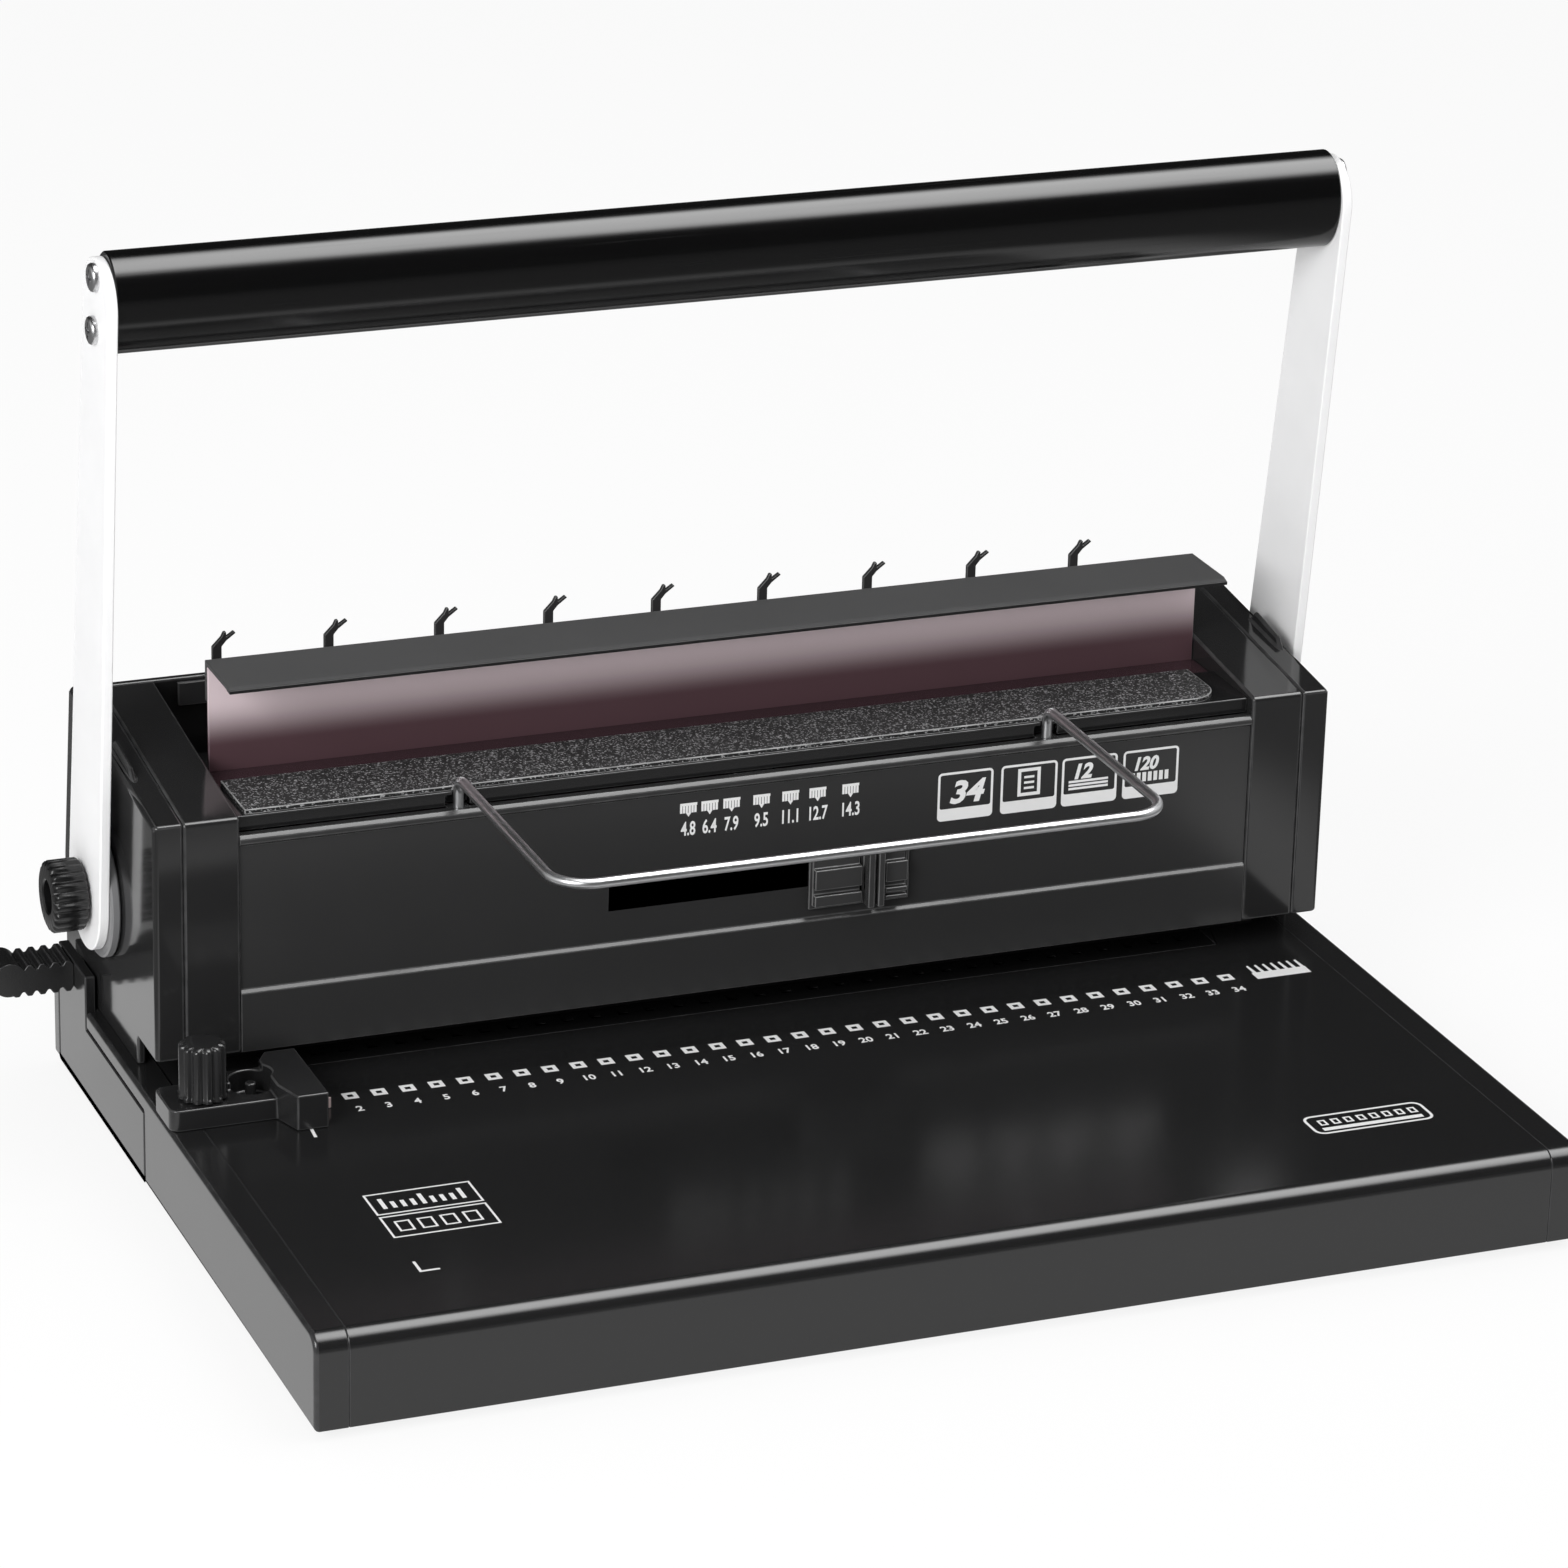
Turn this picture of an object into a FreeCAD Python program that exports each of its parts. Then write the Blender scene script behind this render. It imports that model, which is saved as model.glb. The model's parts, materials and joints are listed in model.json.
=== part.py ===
import FreeCAD
import Part
import Sketcher
import math
import os
import re

# Wire binding machine: a flat base, a punch and wire closer housing, and a bar handle.
# Millimetres. +Z is up, the user stands at -Y, and X runs along the handle.
# The origin is the centre of the base on the surface that the feet stand on.

doc = FreeCAD.newDocument("wire_binding_machine")
sheet = doc.addObject("Spreadsheet::Sheet", "dims")

# Driving dimensions, one group for each region of the machine
SIZES = {
    # base
    "row_end_margin": 44.5,
    "base_reach": 129.0,
    "foot_height": 3.0,
    "deck_top": 30.2,
    "base_wall": 3.0,
    "cap_width": 9.4,
    "cap_wall": 2.4,
    "edge_round": 5.0,
    "bottom_thick": 1.5,
    "foot_radius": 10.0,
    "foot_inset_x": 24.0,
    "foot_inset_y": 16.0,
    "post_half": 4.5,
    "post_offset": 22.0,
    "bolt_head_half": 3.2,
    "bolt_head_height": 1.4,
    "loose_fit": 0.3,
    "close_fit": 0.1,
    "running_gap": 0.05,
    # punch and die
    "wire_pitch": 8.4667,
    "hole_count": 34,
    "hole_centre_x": 1.67,
    "die_setback": 12.5,
    "pin_side": 4.0,
    "pin_clearance": 0.08,
    "pin_grip": 6.0,
    "die_half_depth": 8.0,
    "die_end_margin": 8.0,
    "shelf_width": 2.0,
    "shelf_depth": 2.6,
    "throat_slit": 4.6,
    "guide_thick": 3.0,
    "guide_reach": 7.0,
    "edge_margin": 2.5,
    "stop_depth": 4.5,
    "pin_lift": 1.2,
    "bar_rise": 27.8,
    "bar_height": 18.0,
    "bar_depth": 8.0,
    "clamp_thick": 2.5,
    "bar_end_margin": 6.0,
    # housing
    "housing_inset": 4.1,
    "cover_width": 8.6,
    "cheek_width": 16.3,
    "housing_depth": 96.5,
    "rear_lean": 8.0,
    "knee_rise": 35.8,
    "mouth_height": 8.6,
    "mouth_depth": 19.5,
    "front_rise": 79.5,
    "top_slope": 0.118,
    "shell_wall": 2.5,
    "cheek_lip": 3.0,
    "cover_round": 1.6,
    "guard_setback": 27.5,
    "guard_length": 22.0,
    "guard_height": 3.2,
    "guard_thick": 1.6,
    "guard_root": 1.0,
    # front panel
    "panel_wall": 3.0,
    "panel_recess": 1.0,
    "recess_rise": 17.8,
    "recess_drop": 5.0,
    "rail_drop": 2.7,
    "rail_depth": 3.6,
    "slot_left": -45.7,
    "slot_length": 92.7,
    "slot_rise": 10.9,
    "slot_height": 7.5,
    "rib_thick": 2.0,
    "rib_reach": 2.4,
    "rib_overhang": 80.0,
    # size slider
    "slider_margin": 0.5,
    "slider_width": 31.2,
    "slider_below": 7.0,
    "slider_above": 3.0,
    "slider_plate": 1.2,
    "pad_rise": 2.0,
    "pad_inset": 1.2,
    "ridge_offset": 17.0,
    "ridge_width": 5.0,
    "ridge_rise": 4.2,
    "stem_inset": 5.0,
    "bar_overlap": 1.0,
    "stop_bar_thick": 2.0,
    "stop_bar_drop": 2.6,
    "stop_bar_run": 12.0,
    "stop_bar_steps": 4,
    # frames, shaft and cranks
    "frame_gap": 0.5,
    "frame_thick": 3.0,
    "frame_rear_gap": 7.0,
    "frame_drop": 9.7,
    "frame_corner": 12.0,
    "frame_foot": 8.0,
    "frame_foot_inset": 4.0,
    "shaft_setback": 52.0,
    "shaft_rise": 40.8,
    "shaft_radius": 5.5,
    "spigot_half": 3.8,
    "thread_radius": 3.5,
    "bearing_half": 8.0,
    "bearing_reach": 1.6,
    "rod_radius": 4.0,
    "rod_setback": 27.5,
    "rod_drop": 25.0,
    "crank_inset": 17.2,
    "crank_thick": 5.0,
    "crank_eye_wall": 4.5,
    "crank_tip_wall": 3.5,
    "crank_rest_angle": 35.0,
    "crank_throw": 20.9,
    "punch_throw": 10.46,
    "crank_pin_radius": 2.5,
    "crank_pin_end": 1.0,
    "slot_play": 0.5,
    "side_play": 2.0,
    # punch yokes and closer legs
    "yoke_thick": 3.0,
    "yoke_rise": 2.0,
    "yoke_prong": 6.0,
    "yoke_web": 2.0,
    "yoke_shaft_gap": 1.5,
    "yoke_foot": 8.0,
    "leg_gap": 3.0,
    "leg_thick": 3.0,
    "leg_margin": 4.0,
    "leg_corner": 9.0,
    "leg_flange": 8.0,
    "leg_drop": 1.0,
    # wire closer
    "closer_left_gap": 3.57,
    "closer_right_gap": 0.23,
    "plate_setback": 42.5,
    "plate_thick": 1.2,
    "plate_depth": 24.0,
    "notch_margin": 1.6,
    "notch_drop": 1.4,
    "closed_gap": 4.2,
    "flap_reach": 21.5,
    "flap_thick": 1.4,
    "flap_lip": 0.4,
    "lip_width": 2.6,
    "lip_blend": 0.8,
    "nose_run": 2.5,
    "nose_drop": 0.8,
    "flap_flange": 12.0,
    "flange_thick": 2.0,
    "ledge_drop": 5.7,
    "anvil_rise": 3.5,
    "seat_rise": 4.5,
    "ledge_step": 1.0,
    "ledge_gap": 0.5,
    "strip_gap": 0.6,
    "strip_depth": 23.8,
    "strip_left_gap": 2.8,
    "strip_right_gap": 8.2,
    "strip_thick": 1.5,
    "strip_round": 9.0,
    "well_floor_drop": 14.7,
    "well_floor_thick": 2.0,
    "well_floor_lip": 6.0,
    "well_floor_gap": 1.0,
    "finger_half": 6.0,
    "finger_thick": 2.4,
    "finger_foot": 8.0,
    "finger_gap": 1.0,
    # wire hooks
    "hook_count": 9,
    "hook_pitch": 33.79,
    "hook_first": -137.1,
    "hook_width": 2.8,
    "hook_thick": 1.5,
    "hook_stem": 9.4,
    "hook_rise": 13.7,
    "hook_lean": 2.05,
    "hook_neck": 0.75,
    "hook_fork": 1.9,
    "hook_prong": 0.55,
    "hook_prong_reach": 3.6,
    "hook_rail_depth": 1.6,
    "hook_rail_height": 8.0,
    "hook_rail_drop": 1.0,
    "hook_rail_end": 11.3,
    # handle
    "arm_gap": 3.1,
    "arm_thick": 3.0,
    "arm_foot_radius": 16.5,
    "arm_top_radius": 12.8,
    "arm_length": 183.0,
    "arm_lean_angle": 7.4,
    "grip_long": 14.5,
    "grip_short": 11.5,
    "grip_screw_pitch": 15.6,
    "grip_head_radius": 4.0,
    "grip_head_height": 2.0,
    "hub_radius": 19.0,
    "hub_gap": 0.35,
    "knob_radius": 10.5,
    "knob_gap": 0.8,
    "knob_length": 10.0,
    "knob_recess_radius": 4.9,
    "knob_recess": 4.0,
    "knob_flutes": 20,
    "knob_flute_depth": 0.8,
    "flute_share": 0.55,
    "thread_drop": 1.0,
    "nut_radius": 7.5,
    "nut_thick": 6.5,
    # edge guide
    "guide_screw_radius": 1.5,
    "guide_slot_margin": 0.2,
    "guide_travel": 8.0,
    "guide_length": 32.0,
    "guide_width": 18.0,
    "guide_setback": 28.5,
    "guide_height": 6.3,
    "guide_corner": 3.0,
    "block_start": 30.5,
    "block_length": 12.0,
    "block_front_reach": 9.5,
    "block_rear_reach": 5.0,
    "block_height": 10.5,
    "block_bevel": 3.0,
    "guide_rail_rise": 2.1,
    "guide_rail_depth": 8.2,
    "well_start": 26.0,
    "well_offset": 11.0,
    "well_radius": 6.0,
    "well_bottom": 2.0,
    "well_pin_radius": 1.6,
    "well_pin_rise": 1.0,
    "guide_knob_start": 11.2,
    "guide_knob_offset": 7.5,
    "guide_knob_radius": 7.1,
    "guide_knob_height": 16.5,
    "guide_knob_flutes": 12,
    "guide_flute_depth": 0.9,
    "guide_knob_bevel": 0.6,
    "guide_nut_half": 5.0,
    "guide_nut_thick": 2.5,
    "guide_screw_end": 1.0,
    "pointer_offset": 3.0,
    "pointer_width": 4.5,
    "pointer_reach": 4.5,
    "pointer_rise": 3.2,
    # waste tray
    "tray_setback": 1.5,
    "tray_depth": 74.0,
    "tray_right_gap": 26.8,
    "tray_headroom": 0.9,
    "tray_wall": 1.6,
    "tray_plate_thick": 3.2,
    "tray_plate_margin": 2.0,
    "tray_plate_depth": 90.0,
    "tray_plate_drop": 5.6,
    "ear_width": 29.0,
    "ear_rise": 10.8,
    "tab_margin": 3.0,
    "tab_width": 14.0,
    "tab_length": 19.0,
    "tab_rise": 6.6,
    "tab_half": 3.4,
    "tab_ribs": 5,
    "tab_rib_rise": 1.4,
    "bead_lift": 0.7,
    "bead_radius": 5.15,
    # paper bail
    "bail_radius": 1.5,
    "bail_foot_x": 90.3,
    "bail_setback": 3.4,
    "bail_plug": 13.0,
    "bail_rise": 5.6,
    "bail_bend": 4.0,
    "bail_corner": 11.0,
    "bail_reach": 85.5,
    "bail_sides": 8,
    "socket_wall": 1.7,
    "socket_floor": 3.0,
}
for row, (alias, size) in enumerate(SIZES.items(), start=1):
    sheet.set(f"A{row}", alias)
    sheet.set(f"B{row}", str(size))
    sheet.setAlias(f"B{row}", alias)
doc.recompute()

# Places that follow from the driving dimensions
PLACES = {
    # base
    "deck_under": "deck_top - base_wall",
    "base_half": "row_length / 2 + row_end_margin",
    "deck_half": "base_half - cap_width",
    "inner_reach": "base_reach - base_wall",
    "bottom_top": "foot_height + bottom_thick",
    "foot_x": "base_half - foot_inset_x",
    "foot_y": "base_reach - foot_inset_y",
    "post_x": "foot_x - post_offset",
    # housing, from its outer faces inwards
    "housing_half": "base_half - housing_inset",
    "cover_inner": "housing_half - cover_width",
    "cheek_inner": "cover_inner - cheek_width",
    "housing_front": "base_reach - housing_depth",
    "rear_top_y": "base_reach - rear_lean",
    "rear_top_in": "rear_top_y - shell_wall",
    "rear_in": "base_reach - shell_wall",
    "knee_z": "deck_top + knee_rise",
    "mouth_top": "deck_top + mouth_height",
    "mouth_rear": "housing_front + mouth_depth",
    "front_top": "deck_top + front_rise",
    "guard_front": "housing_front + guard_setback",
    "guard_rear": "guard_front + guard_length",
    # punch and die
    "die_line": "housing_front + die_setback",
    "row_length": "wire_pitch * (hole_count - 1)",
    "first_hole_x": "hole_centre_x - row_length / 2",
    "die_half": "row_length / 2 + die_end_margin",
    "die_left": "hole_centre_x - die_half",
    "die_right": "hole_centre_x + die_half",
    "die_front": "die_line - die_half_depth",
    "die_rear": "die_line + die_half_depth",
    "hole_half": "pin_side / 2 + pin_clearance",
    "slit_top": "deck_top + throat_slit",
    "guide_top": "slit_top + guide_thick",
    "guide_front": "die_line - guide_reach",
    "stop_front": "die_line + pin_side / 2 + edge_margin",
    "stop_rear": "stop_front + stop_depth",
    "bar_bottom": "deck_top + bar_rise",
    "bar_top": "bar_bottom + bar_height",
    "pin_front": "die_line - pin_side / 2",
    "pin_rear": "die_line + pin_side / 2",
    "pin_top": "bar_bottom + pin_grip",
    "pin_tip": "slit_top + pin_lift",
    "bar_rear": "pin_front + bar_depth",
    "bar_half": "row_length / 2 + bar_end_margin",
    "bar_left": "hole_centre_x - bar_half",
    "bar_right": "hole_centre_x + bar_half",
    # frames, shaft and cranks
    "frame_inner": "cheek_inner + shell_wall + frame_gap",
    "frame_outer": "frame_inner + frame_thick",
    "frame_rear": "base_reach - frame_rear_gap",
    "frame_top": "front_top - frame_drop",
    "shaft_y": "housing_front + shaft_setback",
    "shaft_z": "deck_top + shaft_rise",
    "rod_y": "shaft_y + rod_setback",
    "rod_z": "shaft_z - rod_drop",
    "bearing_face": "frame_outer + bearing_reach",
    "arm_inner": "housing_half + arm_gap",
    "arm_outer": "arm_inner + arm_thick",
    "crank_outer": "cheek_inner - crank_inset",
    "crank_inner": "crank_outer - crank_thick",
    "crank_eye": "shaft_radius + crank_eye_wall",
    "crank_tip": "crank_pin_radius + crank_tip_wall",
    "closer_pin_y": "shaft_y - crank_throw * cos(crank_rest_angle)",
    "closer_pin_z": "shaft_z + crank_throw * sin(crank_rest_angle)",
    "punch_pin_z": "shaft_z + punch_throw * sin(crank_rest_angle)",
    "pin_slot_half": "crank_pin_radius + slot_play",
    # punch yokes
    "yoke_outer": "crank_inner - side_play",
    "yoke_inner": "yoke_outer - yoke_thick",
    "yoke_end": "shaft_y - shaft_radius - yoke_shaft_gap",
    "yoke_bottom": "bar_bottom + yoke_rise",
    "yoke_slot_front": "shaft_y - punch_throw - pin_slot_half",
    "yoke_slot_low": "punch_pin_z - pin_slot_half",
    "yoke_slot_high": "punch_pin_z + pin_slot_half",
    # front panel and slider
    "panel_back": "housing_front + panel_wall",
    "rib_back": "panel_back + rib_reach",
    "recess_face": "housing_front + panel_recess",
    "recess_low": "mouth_top + recess_rise",
    "recess_high": "front_top - recess_drop",
    "rail_top": "front_top - rail_drop",
    "rail_back": "housing_front + rail_depth",
    "slot_low": "recess_low + slot_rise",
    "slot_high": "slot_low + slot_height",
    "slot_right": "slot_left + slot_length",
    "slider_right": "slot_right - slider_margin",
    "slider_left": "slider_right - slider_width",
    "slider_low": "slot_low - slider_below",
    "slider_high": "slot_high + slider_above",
    "slider_back": "recess_face - loose_fit",
    "slider_face": "slider_back - slider_plate",
    "ridge_left": "slider_left + ridge_offset",
    "ridge_right": "ridge_left + ridge_width",
    "stop_bar_low": "slot_low - bar_overlap",
    "stop_bar_high": "slot_high + bar_overlap",
    "stop_bar_front": "panel_back + loose_fit",
    "stop_bar_left": "slider_left - stop_bar_run",
    # wire closer
    "ledge_under": "front_top - ledge_drop",
    "anvil_top": "ledge_under + anvil_rise",
    "strip_seat": "ledge_under + seat_rise",
    "strip_top": "strip_seat + strip_thick",
    "ledge_front": "rail_back + ledge_gap",
    "strip_front": "ledge_front + strip_gap",
    "strip_rear": "strip_front + strip_depth",
    "strip_left": "strip_left_gap - cheek_inner",
    "strip_right": "cheek_inner - strip_right_gap",
    "closer_left": "closer_left_gap - cheek_inner",
    "closer_right": "cheek_inner - closer_right_gap",
    "closer_stroke": "2 * crank_throw * sin(crank_rest_angle)",
    "plate_front": "housing_front + plate_setback",
    "plate_back": "plate_front + plate_thick",
    "plate_bottom": "ledge_under - plate_depth",
    "notch_top": "ledge_under - notch_drop",
    "notch_inner": "yoke_inner - notch_margin",
    "notch_outer": "crank_outer + notch_margin",
    "flap_front": "plate_front - flap_reach",
    "lip_under": "strip_top + closer_stroke + closed_gap",
    "flap_under": "lip_under + flap_lip",
    "flap_top": "flap_under + flap_thick",
    "flange_back": "plate_back + flange_thick",
    "flange_low": "flap_top - flap_flange",
    "leg_inner": "crank_outer + leg_gap",
    "leg_outer": "leg_inner + leg_thick",
    "leg_slot_front": "shaft_y - crank_throw - pin_slot_half",
    "leg_slot_rear": "closer_pin_y + pin_slot_half",
    "leg_front": "leg_slot_front - leg_margin",
    "leg_slot_low": "closer_pin_z - pin_slot_half",
    "leg_slot_high": "closer_pin_z + pin_slot_half",
    "leg_bottom": "leg_slot_low - leg_margin",
    "leg_top": "ledge_under - leg_drop",
    "finger_under": "leg_top - finger_thick",
    "finger_low": "finger_under - finger_foot",
    "finger_front": "rib_back + finger_gap",
    "finger_back": "plate_front - finger_thick",
    "floor_front": "flange_back + well_floor_gap",
    "floor_lip_back": "floor_front + well_floor_thick",
    "floor_rear": "rear_top_in - shell_wall",
    "well_floor": "front_top - well_floor_drop",
    "well_floor_top": "well_floor + well_floor_thick",
    # wire hooks
    "hook_base": "front_top + top_slope * (rear_top_in - housing_front)",
    "hook_foot": "hook_base - hook_rail_height",
    "hook_knee": "hook_base + hook_stem",
    "hook_tip": "hook_base + hook_rise",
    "hook_fork_z": "hook_tip - hook_fork",
    "hook_half": "hook_width / 2",
    "hook_neck_x": "hook_first + hook_lean",
    "hook_row": "hook_pitch * (hook_count - 1)",
    "hook_back": "rear_top_in - hook_rail_depth",
    # pivot knob
    "knob_near": "arm_outer + knob_gap",
    "knob_far": "knob_near + knob_length",
    "knob_face": "knob_far - knob_recess",
    "nut_face": "arm_outer + nut_thick",
    # edge guide
    "guide_slot_reach": "guide_screw_radius + loose_fit",
    "guide_knob_x": "guide_slot_reach + guide_slot_margin - deck_half",
    "guide_left": "guide_knob_x - guide_knob_start",
    "guide_right": "guide_left + guide_length",
    "guide_near": "housing_front - guide_setback",
    "guide_far": "guide_near + guide_width",
    "guide_knob_y": "guide_near + guide_knob_offset",
    "block_left": "guide_left + block_start",
    "block_right": "block_left + block_length",
    "block_near": "guide_near - block_front_reach",
    "block_far": "guide_far + block_rear_reach",
    "well_x": "guide_left + well_start",
    "well_y": "guide_near + well_offset",
    "guide_floor": "deck_top + close_fit",
    "guide_face": "guide_floor + guide_height",
    "block_top": "guide_floor + block_height",
    "pointer_y": "guide_near + pointer_offset",
    "pointer_half": "pointer_width / 2",
    "guide_nut_top": "deck_under - loose_fit",
    "guide_nut_under": "guide_nut_top - guide_nut_thick",
    "guide_knob_floor": "guide_face + loose_fit",
    "guide_knob_top": "guide_knob_floor + guide_knob_height",
    # waste tray
    "tray_front": "housing_front + tray_setback",
    "tray_rear": "tray_front + tray_depth",
    "tray_right": "deck_half - tray_right_gap",
    "tray_left": "tray_plate_thick - base_half",
    "tray_floor": "bottom_top + loose_fit",
    "tray_rim": "deck_under - shelf_depth - tray_headroom",
    "tray_plate_near": "tray_front - tray_plate_margin",
    "tray_plate_far": "tray_plate_near + tray_plate_depth",
    "tray_plate_top": "deck_top - tray_plate_drop",
    "ear_near": "tray_plate_far - ear_width",
    "ear_top": "deck_top + ear_rise",
    "tab_far": "tray_plate_far - tab_margin",
    "tab_near": "tab_far - tab_width",
    "tab_mid": "deck_top + tab_rise",
    "tab_end": "base_half + tab_length",
    # paper bail
    "bail_foot_y": "housing_front + bail_setback",
    "bail_foot_z": "rail_top - bail_plug",
    "bail_top": "rail_top + bail_rise",
    "bail_near": "bail_foot_y - bail_reach",
    "socket_half": "bail_radius + close_fit + socket_wall",
    "socket_low": "bail_foot_z - socket_floor",
}
NAME = re.compile(r"[a-z]+(?:_[a-z]+)+")
SAME = 1e-4


# An expression in the sheet's names, with the places written out
def bound(text):
    def full(found):
        word = found.group(0)
        return f"({bound(PLACES[word])})" if word in PLACES else f"dims.{word}"
    return NAME.sub(full, text)


# The number that an expression gives now
def number(text):
    return float(sheet.evalExpression(bound(text)))


# The top of the housing rises towards the rear
def top_at(y):
    return f"(front_top + top_slope * ({y} - housing_front))"


# The two limits of a stretch on one side: side is -1 on the left and 1 on the right
def stretch(side, near, far):
    if side > 0:
        return f"{near}", f"{far}"
    return f"-({far})", f"-({near})"


SIDES = {"left": -1, "right": 1}
pieces = []


# A new body; several separate solids may share it
def new_body(name):
    body = doc.addObject("PartDesign::Body", name)
    body.Label = name
    body.AllowCompound = True
    pieces.append(body)
    return body


def plane_of(body, plane):
    return next(item for item in body.Origin.OriginFeatures if item.Role == plane)


# A sketch on one of the body's own planes, moved along the plane's normal
def new_sketch(body, plane, offset, shift=("0", "0")):
    sketch = body.newObject("Sketcher::SketchObject", f"{body.Label}_sketch")
    sketch.AttachmentSupport = [(plane_of(body, plane), "")]
    sketch.MapMode = "FlatFace"
    sketch.setExpression("AttachmentOffset.Base.x", bound(shift[0]))
    sketch.setExpression("AttachmentOffset.Base.y", bound(shift[1]))
    sketch.setExpression("AttachmentOffset.Base.z", bound(offset))
    return sketch


def hold(sketch, kind, places, text):
    index = sketch.addConstraint(Sketcher.Constraint(kind, *places, number(text)))
    sketch.setExpression(f"Constraints[{index}]", bound(text))


# A closed outline of straight lines through points given as pairs of expressions
def draw_outline(sketch, points):
    corners = [FreeCAD.Vector(number(x), number(y), 0) for x, y in points]
    first = sketch.GeometryCount
    count = len(corners)
    for index, corner in enumerate(corners):
        sketch.addGeometry(Part.LineSegment(corner, corners[(index + 1) % count]), False)
    for index in range(count):
        after = first + (index + 1) % count
        sketch.addConstraint(Sketcher.Constraint("Coincident", first + index, 2, after, 1))
    for index, (x, y) in enumerate(points):
        hold(sketch, "DistanceX", (first + index, 1), x)
        hold(sketch, "DistanceY", (first + index, 1), y)


def draw_circle(sketch, x, y, radius):
    middle = FreeCAD.Vector(number(x), number(y), 0)
    circle = Part.Circle(middle, FreeCAD.Vector(0, 0, 1), number(radius))
    index = sketch.addGeometry(circle, False)
    hold(sketch, "Radius", (index,), radius)
    hold(sketch, "DistanceX", (index, 3), x)
    hold(sketch, "DistanceY", (index, 3), y)


def box(left, low, right, high):
    return [(left, low), (right, low), (right, high), (left, high)]


def square(x, y, half):
    return box(f"{x} - {half}", f"{y} - {half}", f"{x} + {half}", f"{y} + {half}")


# A prism between two levels along a plane's axis, added to the body or cut from it.
# Each shape is a list of points, or a tuple (x, y, radius) for a circle.
def prism(body, kind, plane, low, high, shapes, shift):
    # the normal of the XZ plane points along -Y
    flipped = plane == "XZ_Plane"
    sketch = new_sketch(body, plane, f"-({high})" if flipped else low, shift)
    for shape in shapes:
        if isinstance(shape, list):
            draw_outline(sketch, shape)
        else:
            draw_circle(sketch, *shape)
    before = body.Shape.Volume if kind == "Pocket" else 0
    feature = body.newObject(f"PartDesign::{kind}", f"{body.Label}_{kind.lower()}")
    feature.Profile = sketch
    feature.setExpression("Length", bound(f"({high}) - ({low})"))
    if kind == "Pocket":
        feature.Reversed = True
    doc.recompute()
    if kind == "Pocket" and body.Shape.Volume >= before:
        raise ValueError(f"{body.Label}: a pocket cuts nothing")
    return feature


def pad(body, plane, low, high, shapes, shift=("0", "0")):
    return prism(body, "Pad", plane, low, high, shapes, shift)


def pocket(body, plane, low, high, shapes, shift=("0", "0")):
    return prism(body, "Pocket", plane, low, high, shapes, shift)


# Copies of a feature in a row along X
def row_of(body, feature, length, count):
    pattern = body.newObject("PartDesign::LinearPattern", f"{body.Label}_row")
    pattern.Originals = [feature]
    pattern.Direction = (plane_of(body, "X_Axis"), [""])
    pattern.setExpression("Length", bound(length))
    pattern.setExpression("Occurrences", bound(count))
    body.Tip = pattern
    doc.recompute()


# Copies of a feature round the axis of its own sketch
def ring_of(body, feature, count):
    pattern = body.newObject("PartDesign::PolarPattern", f"{body.Label}_ring")
    pattern.Originals = [feature]
    pattern.Axis = (feature.Profile[0], ["N_Axis"])
    pattern.Angle = 360
    pattern.setExpression("Occurrences", bound(count))
    body.Tip = pattern
    doc.recompute()


# Rounds or bevels the edges that pick accepts
def soften(body, kind, size, pick):
    edges = enumerate(body.Shape.Edges, start=1)
    names = [f"Edge{index}" for index, edge in edges if pick(edge)]
    if not names:
        raise ValueError(f"{body.Label}: no edge to soften")
    base = body.Tip
    feature = body.newObject(f"PartDesign::{kind}", f"{body.Label}_{kind.lower()}")
    feature.Base = (base, names)
    feature.setExpression("Radius" if kind == "Fillet" else "Size", bound(size))
    body.Tip = feature
    doc.recompute()


# Tells whether an edge lies wholly at the given places, each an axis name and an expression
def lies_at(edge, **places):
    limits = edge.BoundBox
    for axis, text in places.items():
        low = getattr(limits, f"{axis.upper()}Min")
        high = getattr(limits, f"{axis.upper()}Max")
        if abs(low - number(text)) > SAME or abs(high - number(text)) > SAME:
            return False
    return True


# Tells whether an edge is straight and runs along an axis
def runs_along(edge, axis):
    return abs(getattr(edge.BoundBox, f"{axis}Length") - edge.Length) < SAME


# Places a body that is drawn about the shaft's axis, turned about it by an angle
def about_shaft(body, angle):
    body.Placement.Rotation = FreeCAD.Rotation(FreeCAD.Vector(1, 0, 0), number(angle))
    body.setExpression("Placement.Base.y", bound("shaft_y"))
    body.setExpression("Placement.Base.z", bound("shaft_z"))
    body.setExpression("Placement.Rotation.Angle", bound(angle))


# Small V-shaped flutes cut round a knob whose axis is the sketch plane's normal
def flutes(body, plane, low, high, radius, depth, count, centre):
    half = f"({radius} * pi / {count} * flute_share)"
    cut = pocket(body, plane, low, high, [[
        (f"{radius} - {depth}", "0"), (f"{radius} + {depth}", f"-2 * {half}"),
        (f"{radius} + {depth}", f"2 * {half}")]], centre)
    ring_of(body, cut, count)


# Base
FOOT_SPOTS = [(f"{a}foot_x", f"{b}foot_y") for a in ("", "-") for b in ("", "-")]
POST_SPOTS = [(f"{a}post_x", f"{b}foot_y") for a in ("", "-") for b in ("", "-")]


def front_edge_of_base(edge):
    return lies_at(edge, y="-base_reach", z="deck_top")


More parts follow.
